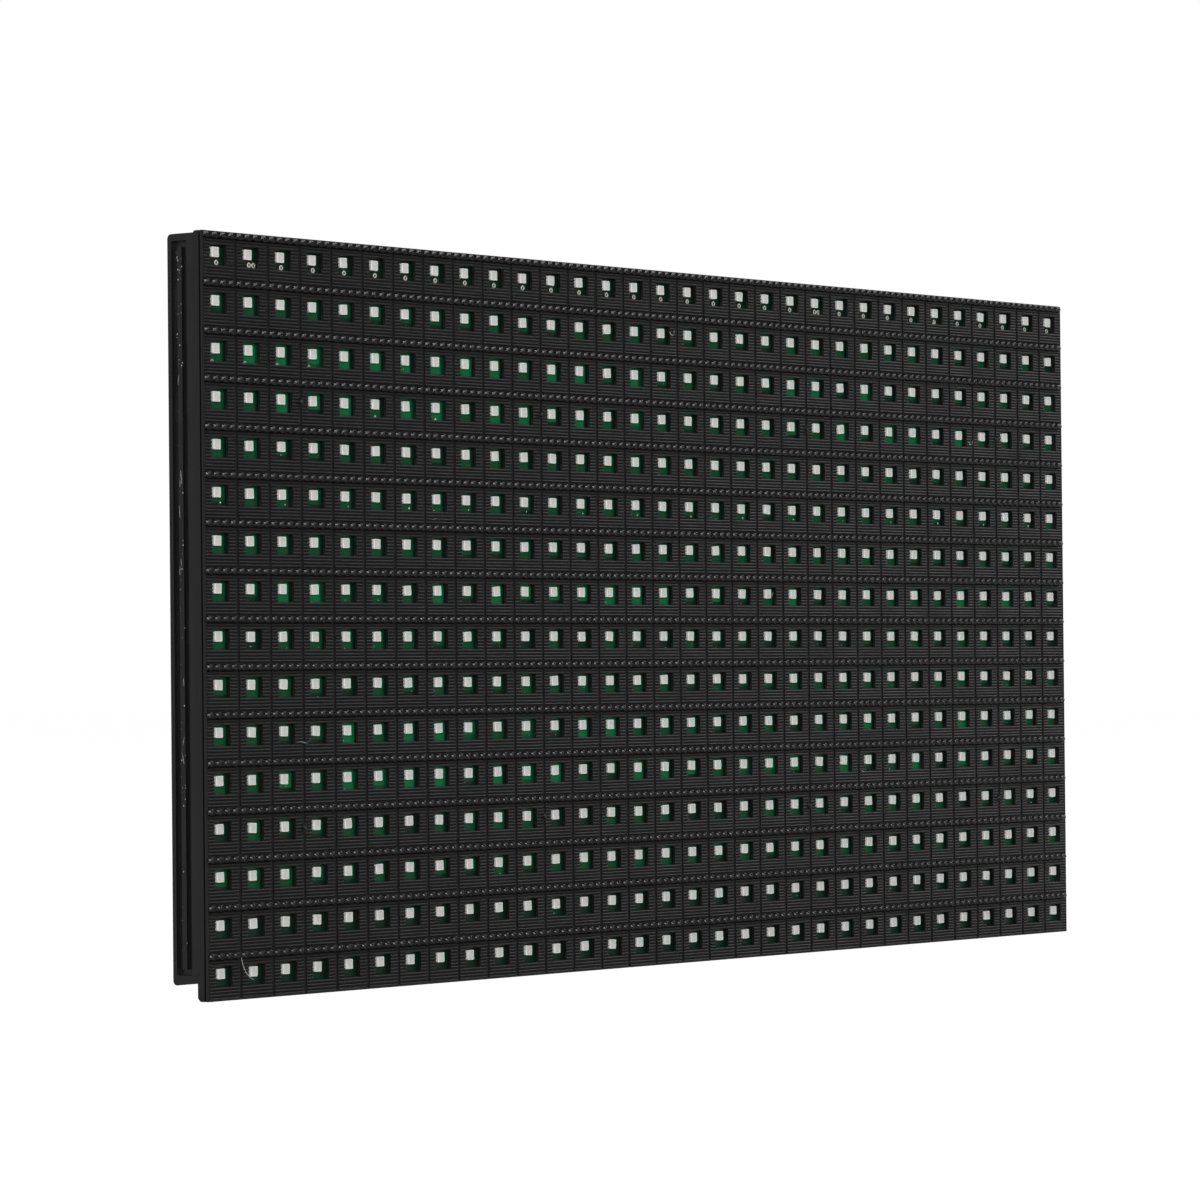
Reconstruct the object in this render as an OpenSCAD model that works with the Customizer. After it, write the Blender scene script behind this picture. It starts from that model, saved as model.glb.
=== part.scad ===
// LED dot matrix display module: a moulded mask with 32 x 16 windows, a circuit board with one
// square lamp behind each window, and a moulded rear shell that clamps the board.
// Front faces -Y, +Z is up. The origin is the centre of the rear fixing plane.

/* [Lamp grid] */
// Distance between neighbouring lamps
pitch = 10; // [9:0.5:12]
// Lamps across
cols = 32; // [28:2:36]
// Lamps up
rows = 16; // [14:2:18]
// Side of one square lamp
lamp_w = 2.1; // [1.6:0.1:2.8]
// Height of one lamp above the board
lamp_h = 0.95; // [0.7:0.05:1.2]
// How far the lamps sit above the middle of their cells
lamp_up = 0.62; // [0:0.02:0.8]

/* [Mask] */
// Thickness of the face around the windows
face_t = 0.7; // [0.5:0.05:1]
// Depth of the board's front behind the face
board_seat = 1.4; // [1.3:0.05:2.2]
// Width of one window
window_w = 4.8; // [4:0.1:5.4]
// Height of one window
window_h = 4.5; // [4:0.1:5.2]
// Height of the wider channel behind each row of windows
channel_h = 6; // [5.6:0.1:6.8]
// Thickness of the rim around the board
rim_t = 1; // [0.8:0.1:1.5]
// Bevel on the rear edge of the rim, top and bottom
rim_bevel = 0.7; // [0.2:0.1:0.9]
// How far each visor stands out of the face
visor_out = 0.9; // [0.5:0.1:2]
// Height of each visor at its root
visor_root = 1.3; // [0.9:0.1:1.6]
// Plain face between a visor and the top of its cells
visor_drop = 0.1; // [0.1:0.05:0.3]
// Plain length of face past each end of a visor
visor_end = 0.3; // [0.1:0.1:1]
// Solid face between the ends of a channel and the panel's ends
channel_end = 2; // [1.6:0.1:2.4]
// Width of the line groove around the rim
line_w = 0.3; // [0.2:0.05:0.5]
// Depth of the line groove around the rim
line_d = 0.25; // [0.1:0.05:0.4]

/* [Circuit board] */
// Thickness of the board
board_t = 1.6; // [1.2:0.1:2]
// Gap between the board's edge and the rim
board_gap = 0.15; // [0.1:0.05:0.5]

/* [Mask screws] */
// Columns of cells between the panel's end and the outer screws
outer_screw_cols = 3; // [2:1:4]
// Columns of cells between the panel's middle and the inner screws
inner_screw_cols = 5; // [4:1:6]
// Rows of cells between the panel's middle and the screws
screw_rows = 4.5; // [3.5:1:5.5]
// Diameter of the mask's screw bosses
boss_d = 3.8; // [3.4:0.1:4]
// How far the mask's screw bosses reach behind the board
boss_out = 2; // [1:0.1:2.5]
// Core diameter of the screws
screw_d = 1.6; // [1.4:0.1:1.8]
// Diameter of the screw heads
head_d = 3.9; // [3.4:0.1:4.2]
// Height of the screw heads
head_h = 1.3; // [1:0.1:1.6]
// Distance from the back of the face to the screws' tips
screw_tip_gap = 1.2; // [0.8:0.1:1.5]
// Width of the cross recess in a screw head
recess_w = 0.6; // [0.4:0.05:0.8]
// Length of the cross recess
recess_l = 2.4; // [1.8:0.1:2.8]
// Depth of the cross recess
recess_d = 0.7; // [0.4:0.05:0.8]
// Sideways gap between a boss or screw head and what is around it
fit_gap = 0.2; // [0.1:0.05:0.3]

/* [Rear shell] */
// Height of the shell behind the board
shell_h = 7; // [6:0.1:8]
// Step from the top of the mask to the top of the shell
top_step = 0.4; // [0.2:0.1:1.5]
// Step from the bottom of the mask to the bottom of the shell
bottom_step = 3.2; // [1.5:0.1:3.5]
// How much further in the shell's underside is at the board
under_draft = 0.6; // [0:0.1:0.8]
// Thickness of the shell's top and bottom walls
wall_t = 1.5; // [1.2:0.1:2]
// Thickness of the shell's side walls, with their grooves
side_wall_t = 2.6; // [2.4:0.1:3.2]
// Radius of the shell's rear corners
corner_r = 1; // [0.5:0.1:1.2]
// Height of the plain shoulder of the side walls
shoulder_h = 1.6; // [1.2:0.1:2]
// Height of the side groove in front of the ridge
front_groove_h = 1.4; // [1:0.1:1.6]
// Height of the ridge between the side grooves
ridge_h = 1.3; // [0.8:0.1:1.5]
// Height of the side groove behind the ridge
rear_groove_h = 1.6; // [1:0.1:1.7]
// Depth of the side grooves
groove_d = 1.1; // [0.6:0.1:1.2]
// Plain wall above and below the side grooves
groove_end = 1.5; // [1.2:0.1:3]
// How much shorter the ridge is than its grooves, at each end
ridge_end = 1.3; // [0.5:0.1:2]
// Width of the flange that lies on the board
flange_w = 4.5; // [4:0.5:6]
// Thickness of the flange and of the bars
flange_t = 1.4; // [1.2:0.1:2]
// Width of the bars across the shell
bar_w = 8; // [7:0.5:9]
// Thickness of the stiffening rib on each bar
rib_t = 1.6; // [1.2:0.1:2]
// Diameter of the screw posts on the bars
post_d = 7; // [6.4:0.1:8]
// Floor under each screw head
post_floor = 1.5; // [1:0.1:1.8]

/* [Fixings] */
// Distance across between the outer fixing bosses
fix_span = 290; // [284:1:294]
// Distance up between the fixing bosses
fix_rise = 140; // [134:1:142]
// Diameter of the fixing bosses
fix_boss_d = 8; // [7:0.1:9]
// How far the fixing bosses stand behind the shell
fix_out = 2; // [1:0.1:4]
// Outer diameter of the brass inserts
insert_d = 4.6; // [4.2:0.1:5]
// Length of the brass inserts
insert_l = 6; // [4:0.5:7]
// Core diameter of the inserts' M3 thread
thread_d = 2.5; // [2.4:0.05:3]
// Gap between an insert and its bore
insert_gap = 0.03; // [0.02:0.01:0.05]
// Distance across from a corner's fixing boss to the peg beside it
peg_inset = 15; // [14:1:20]
// Diameter of the boss under each peg
peg_boss_d = 7; // [6:0.1:8]
// Diameter of the two locating pegs
peg_d = 3; // [2:0.1:4]
// How far the locating pegs stand past the fixing plane
peg_out = 2.5; // [1:0.5:4]

/* [Connectors] */
// Distance from the middle to each data header
header_x = 110; // [106:1:114]
// Pins in one row of a data header
header_pins = 8; // [5:1:10]
// Distance between the pins of a data header
header_pitch = 2.54; // [2.5:0.01:2.6]
// Width of a data header
header_w = 8.8; // [8.4:0.1:9.2]
// Plain length of a data header past its end pins
header_end = 5.1; // [4:0.1:5.5]
// Width of the key slot in a data header
header_key_w = 4.5; // [4:0.1:5]
// Height of a data header
header_h = 9; // [8:0.1:9]
// Wall of a data header
header_wall = 1.2; // [1:0.1:1.5]
// Floor of a data header
header_floor = 2.5; // [2:0.1:3]
// Side of a square data pin
data_pin_w = 0.64; // [0.5:0.01:0.7]
// Pins of the power header
power_pins = 4; // [2:1:5]
// Distance between the power pins
power_pitch = 3.96; // [3.9:0.01:4.2]
// Side of a square power pin
power_pin_w = 1.14; // [0.9:0.01:1.3]
// Plain length of the power header past its end pins
power_end = 3.9; // [2.5:0.1:4.5]
// Width of the power header
power_w = 8.5; // [7:0.1:9]
// Height of the power header's base
power_base_h = 3.3; // [2.5:0.1:4]
// Thickness of the power header's locking wall
power_wall_t = 1.2; // [0.8:0.1:1.5]
// Height of the power header's locking wall
power_h = 7.6; // [6:0.1:9]
// Gap around a pin in its board hole and header
pin_gap = 0.05; // [0.02:0.01:0.08]

/* [Components] */
// Distance from the middle to the lamp drivers' rows
driver_z = 34; // [30:1:38]
// Distance from the middle to the row switches' rows
switch_z = 58; // [54:1:60]
// Distance across from a data header to its resistor networks
network_gap = 11; // [8:1:13]
// Distance up from the middle to the resistor networks
network_z = 5; // [4:0.5:8]
// Distance across from a lamp driver to the small parts beside it
passive_gap = 7.5; // [6.5:0.5:9]
// Diameter of the electrolytic capacitors
can_d = 8; // [6.3:0.1:8]
// Height of the electrolytic capacitors' cans
can_h = 5.6; // [4.5:0.1:6]
// Distance from the middle to each electrolytic capacitor
can_x = 16; // [12:1:20]
// Height of a capacitor's moulded base
can_base_h = 1; // [0.6:0.1:1.4]

/* [Hidden] */
$fn = 48;
eps = 0.01;

panel_w = cols * pitch;
panel_h = rows * pitch;
board_rear = board_seat + board_t;
shell_rear = board_rear + shell_h;
fixing_plane = shell_rear + fix_out;
board_w = panel_w - 2 * (rim_t + board_gap);
board_h = panel_h - 2 * (rim_t + board_gap);

shell_top = panel_h / 2 - top_step;
shell_bottom = -panel_h / 2 + bottom_step;
front_bottom = shell_bottom + under_draft;
cavity_w = panel_w - 2 * side_wall_t;
cavity_top = shell_top - wall_t;
cavity_bottom = front_bottom + wall_t;

groove_start = board_rear + shoulder_h;
groove_h = front_groove_h + ridge_h + rear_groove_h;
ridge_start = groove_start + front_groove_h;

peg_x = fix_span / 2 - peg_inset;
outer_screw_x = panel_w / 2 - outer_screw_cols * pitch;
inner_screw_x = inner_screw_cols * pitch;
screw_z = screw_rows * pitch;
bar_xs = [-outer_screw_x, -inner_screw_x, inner_screw_x, outer_screw_x];
boss_end = board_rear + boss_out;
post_seat = boss_end + fit_gap / 2;
head_seat = post_seat + post_floor;
post_rear = head_seat + head_h + fit_gap;
screw_tip = face_t + screw_tip_gap;
pilot_gap = 0.03;
shank_gap = 0.3;

bay_w = outer_screw_x - inner_screw_x;
driver_xs = [
    -outer_screw_x + bay_w / 4, -inner_screw_x - bay_w * 0.28, -inner_screw_x * 0.54,
    inner_screw_x * 0.54, inner_screw_x + bay_w * 0.28, outer_screw_x - bay_w / 4
];
switch_xs = [-inner_screw_x - bay_w * 0.66, -inner_screw_x - bay_w * 0.2,
    inner_screw_x + bay_w * 0.2, inner_screw_x + bay_w * 0.66];
buffer_x = inner_screw_x + bay_w * 0.38;
network_x = header_x - network_gap;

header_l = (header_pins - 1) * header_pitch + 2 * header_end;
data_pin_tip = header_h - 1;
power_l = (power_pins - 1) * power_pitch + 2 * power_end;
power_pin_tip = power_h + 0.8;
tail_inset = 0.2;
hole_grow = 0.3;

// Small-outline packages: body length, body width, body height, leads a side, lead pitch, lead span
driver_size = [8.65, 3.9, 1.75, 12, 0.635, 6];
buffer_size = [12.8, 7.5, 2.3, 10, 1.27, 10.3];
decoder_size = [9.9, 3.9, 1.75, 8, 1.27, 6];
switch_size = [4.9, 3.9, 1.75, 4, 1.27, 6];
lead_t = 0.2;
lead_share = 0.5;
stand_off = 0.1;

// Moves a child from the face, where depths are measured, to the fixing plane
module placed() {
    translate([0, -fixing_plane, 0]) children();
}

// A flat outline in the X-Z plane, from one depth behind the face to another
module layer(from, to) {
    translate([0, to, 0]) rotate([90, 0, 0]) linear_extrude(to - from) children();
}

// An outline in depth and height, run from one X to another
module along_x(from, to) {
    translate([from, 0, 0]) rotate([90, 0, 90]) linear_extrude(to - from) children();
}

// A round bar or hole along the depth
module round_bar(d, from, to) {
    translate([0, from, 0]) rotate([-90, 0, 0]) cylinder(d = d, h = to - from);
}

// Puts a child at the middle of every cell
module every_cell(up = 0) {
    for (i = [0 : cols - 1], j = [0 : rows - 1])
        translate([(i - (cols - 1) / 2) * pitch, (j - (rows - 1) / 2) * pitch + up]) children();
}

// Puts a child at every mask screw
module every_screw() {
    for (x = bar_xs, side = [-1, 1]) translate([x, 0, side * screw_z]) children();
}

// Puts a child at every fixing boss
module every_fixing() {
    for (x = [-fix_span / 2, 0, fix_span / 2], side = [-1, 1])
        translate([x, 0, side * fix_rise / 2]) children();
}

// Puts a child at both locating pegs, which stand beside two opposite corner bosses
module every_peg() {
    for (side = [-1, 1]) translate([side * peg_x, 0, -side * fix_rise / 2]) children();
}

// Puts a child on the board's rear, its own +Z pointing away from the board
module on_board(x, z, turn = 0) {
    translate([x, board_rear, z]) rotate([-90, 0, 0]) rotate([0, 0, turn]) children();
}

// Cross-section of one visor: a pointed ridge whose root starts inside the face
module visor_section() {
    polygon([[face_t / 2, -visor_root], [0, -visor_root], [-visor_out, -visor_root / 2],
        [0, 0], [face_t / 2, 0]]);
}

// Wedge that bevels one long rear edge of the rim
module rim_wedge() {
    polygon([[board_rear - rim_bevel, eps], [board_rear + eps, eps],
        [board_rear + eps, -rim_bevel]]);
}

module mask() {
    color("#232323") placed() difference() {
        union() {
            layer(0, face_t) difference() {
                square([panel_w, panel_h], center = true);
                every_cell() square([window_w, window_h], center = true);
            }
            layer(face_t, board_seat) difference() {
                square([panel_w, panel_h], center = true);
                for (j = [0 : rows - 1]) translate([0, (j - (rows - 1) / 2) * pitch])
                    square([panel_w - 2 * channel_end, channel_h], center = true);
            }
            layer(board_seat, board_rear) difference() {
                square([panel_w, panel_h], center = true);
                square([panel_w - 2 * rim_t, panel_h - 2 * rim_t], center = true);
            }
            for (j = [1 : rows])
                translate([0, 0, j * pitch - panel_h / 2 - visor_drop])
                    along_x(-panel_w / 2 + visor_end, panel_w / 2 - visor_end) visor_section();
            every_screw() round_bar(boss_d, face_t - eps, boss_end);
        }
        layer(face_t, face_t + line_w) difference() {
            square([panel_w + 1, panel_h + 1], center = true);
            square([panel_w - 2 * line_d, panel_h - 2 * line_d], center = true);
        }
        for (side = [0, 1]) mirror([0, 0, side]) translate([0, 0, panel_h / 2])
            along_x(-panel_w / 2 - 1, panel_w / 2 + 1) rim_wedge();
        every_screw() round_bar(screw_d + 2 * pilot_gap, screw_tip - 0.2, boss_end + 1);
    }
}

module circuit_board() {
    color("#0b5a35") placed() difference() {
        layer(board_seat, board_rear) square([board_w, board_h], center = true);
        every_screw() round_bar(boss_d + 2 * fit_gap, board_seat - 1, board_rear + 1);
        for (side = [-1, 1]) header_pin_places(side)
            cylinder(d = data_pin_w + hole_grow + 2 * pin_gap, h = 3 * board_t, center = true);
        power_pin_places()
            cylinder(d = power_pin_w + hole_grow * 2 + 2 * pin_gap, h = 3 * board_t, center = true);
    }
}

module lamps() {
    color("#d9dad6") placed() layer(board_seat - lamp_h, board_seat)
        every_cell(lamp_up) square(lamp_w, center = true);
}

// Outline of the shell seen from its side, with rounded rear corners
module shell_outline() {
    polygon([[board_rear, front_bottom], [shell_rear - corner_r, shell_bottom],
        [shell_rear, shell_bottom + corner_r], [shell_rear, shell_top - corner_r],
        [shell_rear - corner_r, shell_top], [board_rear, shell_top]]);
    for (z = [shell_bottom + corner_r, shell_top - corner_r])
        translate([shell_rear - corner_r, z]) circle(corner_r);
}

// The grooves of one side wall, with the ridge left standing between them
module side_grooves() {
    low = front_bottom + groove_end;
    high = shell_top - groove_end;
    difference() {
        translate([panel_w / 2 - groove_d, groove_start, low])
            cube([groove_d + 1, groove_h, high - low]);
        translate([panel_w / 2 - groove_d - 1, ridge_start, low + ridge_end])
            cube([groove_d + 1 - eps, ridge_h, high - low - 2 * ridge_end]);
    }
}

// One bar across the shell: a flat strip on the board with a stiffening rib
module bar() {
    tall = cavity_top - cavity_bottom + 2 * eps;
    translate([-bar_w / 2, board_rear, cavity_bottom - eps]) cube([bar_w, flange_t, tall]);
    translate([-rib_t / 2, board_rear, cavity_bottom - eps])
        cube([rib_t, shell_h - corner_r, tall]);
}

// Webs that tie a fixing boss to the wall next to it
module boss_webs(x, side) {
    wall_z = side > 0 ? cavity_top : cavity_bottom;
    boss_z = side * fix_rise / 2;
    translate([x - rib_t / 2, board_rear, min(wall_z, boss_z) - eps])
        cube([rib_t, shell_h - corner_r, abs(wall_z - boss_z) + 2 * eps]);
}

module back_shell() {
    color("#1c1c1c") placed() difference() {
        union() {
            difference() {
                along_x(-panel_w / 2, panel_w / 2) shell_outline();
                translate([-cavity_w / 2, board_rear - 1, cavity_bottom])
                    cube([cavity_w, shell_h + 2, cavity_top - cavity_bottom]);
            }
            layer(board_rear, board_rear + flange_t) difference() {
                translate([-cavity_w / 2 - eps, cavity_bottom - eps])
                    square([cavity_w + 2 * eps, cavity_top - cavity_bottom + 2 * eps]);
                translate([-panel_w / 2 + flange_w, cavity_bottom + flange_w - wall_t])
                    square([panel_w - 2 * flange_w,
                        cavity_top - cavity_bottom - 2 * (flange_w - wall_t)]);
            }
            for (x = bar_xs) translate([x, 0, 0]) bar();
            every_screw() round_bar(post_d, board_rear, post_rear);
            every_fixing() round_bar(fix_boss_d, board_rear, fixing_plane);
            for (x = [-fix_span / 2, 0, fix_span / 2], side = [-1, 1]) boss_webs(x, side);
            for (side = [-1, 1]) boss_webs(side * peg_x, -side);
            every_peg() {
                round_bar(peg_boss_d, board_rear, fixing_plane);
                round_bar(peg_d, fixing_plane - eps, fixing_plane + peg_out);
            }
        }
        for (side = [0, 1]) mirror([side, 0, 0]) side_grooves();
        every_screw() {
            round_bar(boss_d + 2 * fit_gap, board_rear - 1, post_seat);
            round_bar(screw_d + 2 * shank_gap, board_rear, post_rear);
            round_bar(head_d + 2 * fit_gap, head_seat, post_rear + shell_h);
        }
        every_fixing()
            round_bar(insert_d + 2 * insert_gap, fixing_plane - insert_l - 0.5, fixing_plane + 1);
    }
}

module threaded_inserts() {
    color("#c9a24b") placed() every_fixing() difference() {
        round_bar(insert_d, fixing_plane - insert_l, fixing_plane);
        round_bar(thread_d, fixing_plane - insert_l - 1, fixing_plane + 1);
    }
}

module mask_screws() {
    color("#8f9092") placed() every_screw() difference() {
        union() {
            round_bar(head_d, head_seat, head_seat + head_h);
            round_bar(screw_d, screw_tip, head_seat + eps);
        }
        for (turn = [0, 90]) rotate([0, turn, 0])
            translate([-recess_l / 2, head_seat + head_h - recess_d, -recess_w / 2])
                cube([recess_l, recess_d + 1, recess_w]);
    }
}

// A small-outline package: tapered body, a dimple at lead one and bent leads on both sides
module small_outline(size) {
    length = size[0];
    width = size[1];
    height = size[2];
    mid = height * 0.55;
    taper = 0.15;
    root = width / 2 - 0.3;
    knee = width / 2 + (size[5] - width) * 0.2;
    dimple_d = 0.7;
    dimple_in = 0.9;
    dimple_depth = 0.1;
    difference() {
        rotate([90, 0, 90]) linear_extrude(length, center = true)
            polygon([[-width / 2 + taper, stand_off], [width / 2 - taper, stand_off],
                [width / 2, mid], [width / 2 - taper, height], [-width / 2 + taper, height],
                [-width / 2, mid]]);
        translate([-length / 2 + dimple_in, width / 2 - dimple_in, height - dimple_depth])
            cylinder(d = dimple_d, h = 1);
    }
    for (side = [0, 1], k = [0 : size[3] - 1])
        mirror([0, side, 0]) translate([(k - (size[3] - 1) / 2) * size[4], 0, 0])
            rotate([90, 0, 90]) linear_extrude(size[4] * lead_share, center = true)
                polygon([[root, mid], [knee, mid], [knee, 0], [size[5] / 2, 0],
                    [size[5] / 2, lead_t], [knee + lead_t, lead_t],
                    [knee + lead_t, mid + lead_t], [root, mid + lead_t]]);
}

module driver_chips() {
    color("#26272a") placed() for (x = driver_xs, side = [-1, 1])
        on_board(x, side * driver_z) small_outline(driver_size);
}

module buffer_chips() {
    color("#26272a") placed() for (side = [-1, 1])
        on_board(side * buffer_x, 0, 90) small_outline(buffer_size);
}

module decoder_chip() {
    color("#26272a") placed() on_board(-inner_screw_x * 0.66, 0, 90) small_outline(decoder_size);
}

module row_switch_chips() {
    color("#26272a") placed() for (x = switch_xs, side = [-1, 1])
        on_board(x, side * switch_z) small_outline(switch_size);
}

// A flat chip part: ceramic body between two wider end caps
module chip_part(length, width, height) {
    cap = length * 0.2;
    lip = 0.03;
    translate([-length / 2 + cap - eps, -width / 2 + lip, 0])
        cube([length - 2 * cap + 2 * eps, width - 2 * lip, height - lip]);
    for (x = [-length / 2, length / 2 - cap])
        translate([x, -width / 2, 0]) cube([cap, width, height]);
}

module resistor_networks() {
    color("#17181a") placed() for (side = [-1, 1], z = [-network_z, network_z])
        on_board(side * network_x, z, 90) chip_part(3.2, 1.6, 0.6);
}

module chip_resistors() {
    color("#17181a") placed() for (x = driver_xs, side = [-1, 1])
        on_board(x - passive_gap, side * driver_z, 90) chip_part(1.6, 0.8, 0.5);
}

module ceramic_capacitors() {
    color("#b59a72") placed() for (x = driver_xs, side = [-1, 1])
        on_board(x + passive_gap, side * driver_z, 90) chip_part(2, 1.25, 0.9);
}

module capacitor_cans() {
    r = can_d / 2;
    neck = 0.3;
    bead = can_base_h + 0.8;
    top = can_base_h + can_h;
    edge = 0.4;
    color("#b9bcc0") placed() for (side = [-1, 1]) on_board(side * can_x, 0)
        rotate_extrude() polygon([[0, can_base_h], [r, can_base_h], [r, bead],
            [r - neck, bead + neck], [r - neck, bead + 2 * neck], [r, bead + 3 * neck],
            [r, top - edge], [r - edge, top], [0, top]]);
}

module capacitor_bases() {
    side_w = can_d + 0.3;
    cut = 1.5;
    color("#1b1b1b") placed() for (side = [-1, 1]) on_board(side * can_x, 0)
        linear_extrude(can_base_h) polygon([[-side_w / 2, -side_w / 2], [side_w / 2, -side_w / 2],
            [side_w / 2, side_w / 2 - cut], [side_w / 2 - cut, side_w / 2],
            [-side_w / 2 + cut, side_w / 2], [-side_w / 2, side_w / 2 - cut]]);
}

// Puts a child at every pin of the data header on one side
module header_pin_places(side) {
    on_board(side * header_x, 0, 90)
        for (k = [0 : header_pins - 1], row = [-0.5, 0.5])
            translate([(k - (header_pins - 1) / 2) * header_pitch, row * header_pitch, 0]) children();
}

// Puts a child at every power pin
module power_pin_places() {
    on_board(0, 0, 90) for (k = [0 : power_pins - 1])
        translate([(k - (power_pins - 1) / 2) * power_pitch, 0, 0]) children();
}

// Open-topped box of a data header with its key slot
module header_box(side) {
    color("#202022") placed() difference() {
        on_board(side * header_x, 0, 90) difference() {
            translate([-header_l / 2, -header_w / 2, 0]) cube([header_l, header_w, header_h]);
            translate([-header_l / 2 + header_wall, -header_w / 2 + header_wall, header_floor])
                cube([header_l - 2 * header_wall, header_w - 2 * header_wall, header_h]);
            translate([-header_key_w / 2, header_w / 2 - header_wall - 1, header_floor])
                cube([header_key_w, header_wall + 2, header_h]);
        }
        header_pin_places(side)
            cube([data_pin_w + 2 * pin_gap, data_pin_w + 2 * pin_gap, 3 * header_floor], center = true);
    }
}

// Square pins of a data header, from the board's front to near the box's rim
module header_pin_set(side) {
    color("#cdb562") placed() header_pin_places(side)
        translate([-data_pin_w / 2, -data_pin_w / 2, -board_t + tail_inset])
            cube([data_pin_w, data_pin_w, data_pin_tip + board_t - tail_inset]);
}

module input_header() {
    header_box(-1);
}

module input_header_pins() {
    header_pin_set(-1);
}

module output_header() {
    header_box(1);
}

module output_header_pins() {
    header_pin_set(1);
}

module power_header() {
    color("#e9e6dc") placed() difference() {
        on_board(0, 0, 90) {
            translate([-power_l / 2, -power_w / 2, 0]) cube([power_l, power_w, power_base_h]);
            translate([-power_l / 2, power_w / 2 - power_wall_t, 0])
                cube([power_l, power_wall_t, power_h]);
        }
        power_pin_places()
            cube([power_pin_w + 2 * pin_gap, power_pin_w + 2 * pin_gap, 3 * power_base_h], center = true);
    }
}

module power_header_pins() {
    color("#c8c9c6") placed() power_pin_places()
        translate([-power_pin_w / 2, -power_pin_w / 2, -board_t + tail_inset])
            cube([power_pin_w, power_pin_w, power_pin_tip + board_t - tail_inset]);
}

mask();
circuit_board();
lamps();
back_shell();
threaded_inserts();
mask_screws();
driver_chips();
buffer_chips();
decoder_chip();
row_switch_chips();
resistor_networks();
chip_resistors();
ceramic_capacitors();
capacitor_cans();
capacitor_bases();
input_header();
input_header_pins();
output_header();
output_header_pins();
power_header();
power_header_pins();
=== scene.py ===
"""Dresses the LED dot matrix module: ribbed mask, lamps, board, rear shell, chips and connectors.

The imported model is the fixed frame. Lengths here are millimetres in the frame's axes: +X to the
right seen from the front, +Y from the lamps to the rear, +Z up. They turn to metres when a mesh or
the camera is handed to Blender. The floor's reach and the soft boxes are in metres.
"""

import logging
import math
import random
from dataclasses import dataclass
from enum import Enum
from typing import Iterable, Sequence

import bpy
import numpy as np
from mathutils import Matrix, Vector


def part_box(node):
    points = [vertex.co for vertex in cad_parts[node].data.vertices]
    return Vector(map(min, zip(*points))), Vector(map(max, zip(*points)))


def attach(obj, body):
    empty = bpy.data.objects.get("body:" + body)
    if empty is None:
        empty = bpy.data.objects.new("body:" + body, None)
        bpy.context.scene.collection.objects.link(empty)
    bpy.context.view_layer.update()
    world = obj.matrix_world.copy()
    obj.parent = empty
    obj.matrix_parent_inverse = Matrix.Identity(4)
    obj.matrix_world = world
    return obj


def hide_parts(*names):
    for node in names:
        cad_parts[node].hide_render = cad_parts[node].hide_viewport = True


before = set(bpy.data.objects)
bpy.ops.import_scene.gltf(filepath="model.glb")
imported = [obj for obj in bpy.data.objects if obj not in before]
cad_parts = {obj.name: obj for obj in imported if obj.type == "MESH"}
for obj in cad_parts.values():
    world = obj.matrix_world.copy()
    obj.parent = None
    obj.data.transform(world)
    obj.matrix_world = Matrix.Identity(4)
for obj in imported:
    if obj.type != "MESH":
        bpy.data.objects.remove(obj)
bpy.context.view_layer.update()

MM = 0.001
BODY = "root"
LOG = logging.getLogger("led_module")
# Nearly all of a noise pattern's values lie between these two
CLOUD_LOW = 0.3
CLOUD_HIGH = 0.7


# ---------------------------------------------------------------- colours and shader nodes


def linear(hex_colour: str) -> tuple[float, float, float, float]:
    """Turns an sRGB hex colour into linear light.

    Args:
        hex_colour: Colour such as "#1c1d1e".

    Returns:
        Linear red, green, blue and an alpha of 1.
    """
    shares = [int(hex_colour[i : i + 2], 16) / 255 for i in (1, 3, 5)]
    bent = [s / 12.92 if s <= 0.04045 else ((s + 0.055) / 1.055) ** 2.4 for s in shares]
    return (*bent, 1.0)


def add_node(
    tree: bpy.types.NodeTree,
    kind: str,
    settings: dict[str, object] | None = None,
    inputs: dict[str | int, object] | None = None,
) -> bpy.types.Node:
    """Adds one shader node with its settings, values and links.

    Args:
        tree: Node tree of the material or world.
        kind: Blender's type name of the node.
        settings: Attributes of the node itself.
        inputs: Value or source socket for each named or numbered input.

    Returns:
        The new node.
    """
    node = tree.nodes.new(kind)
    for name, value in (settings or {}).items():
        setattr(node, name, value)
    for name, value in (inputs or {}).items():
        if isinstance(value, bpy.types.NodeSocket):
            tree.links.new(value, node.inputs[name])
        else:
            node.inputs[name].default_value = value
    return node


def set_ramp(node: bpy.types.Node, stops: Sequence[tuple[float, str]]) -> None:
    """Gives a colour ramp its stops.

    Args:
        node: The colour ramp node.
        stops: Position and hex colour of each stop, in order.
    """
    ramp = node.color_ramp
    while len(ramp.elements) < len(stops):
        ramp.elements.new(1.0)
    for element, (position, colour) in zip(ramp.elements, stops):
        element.position = position
        element.color = linear(colour)


class Grain(Enum):
    """How a surface was made; turning and drawing give its fine relief a direction."""

    MOULDED = "moulded"
    TURNED = "turned"
    DRAWN = "drawn"
    FROSTED = "frosted"
    PRINTED = "printed or coated"

    @property
    def stretch(self) -> tuple[float, float, float]:
        """Tells how the relief runs: lathe rings go round Y and draw lines go along it.

        Returns:
            Scale of the relief's pattern along X, Y and Z.
        """
        if self is Grain.TURNED:
            return (0.15, 3.0, 0.15)
        if self is Grain.DRAWN:
            return (3.0, 0.15, 3.0)
        return (1.0, 1.0, 1.0)


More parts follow.
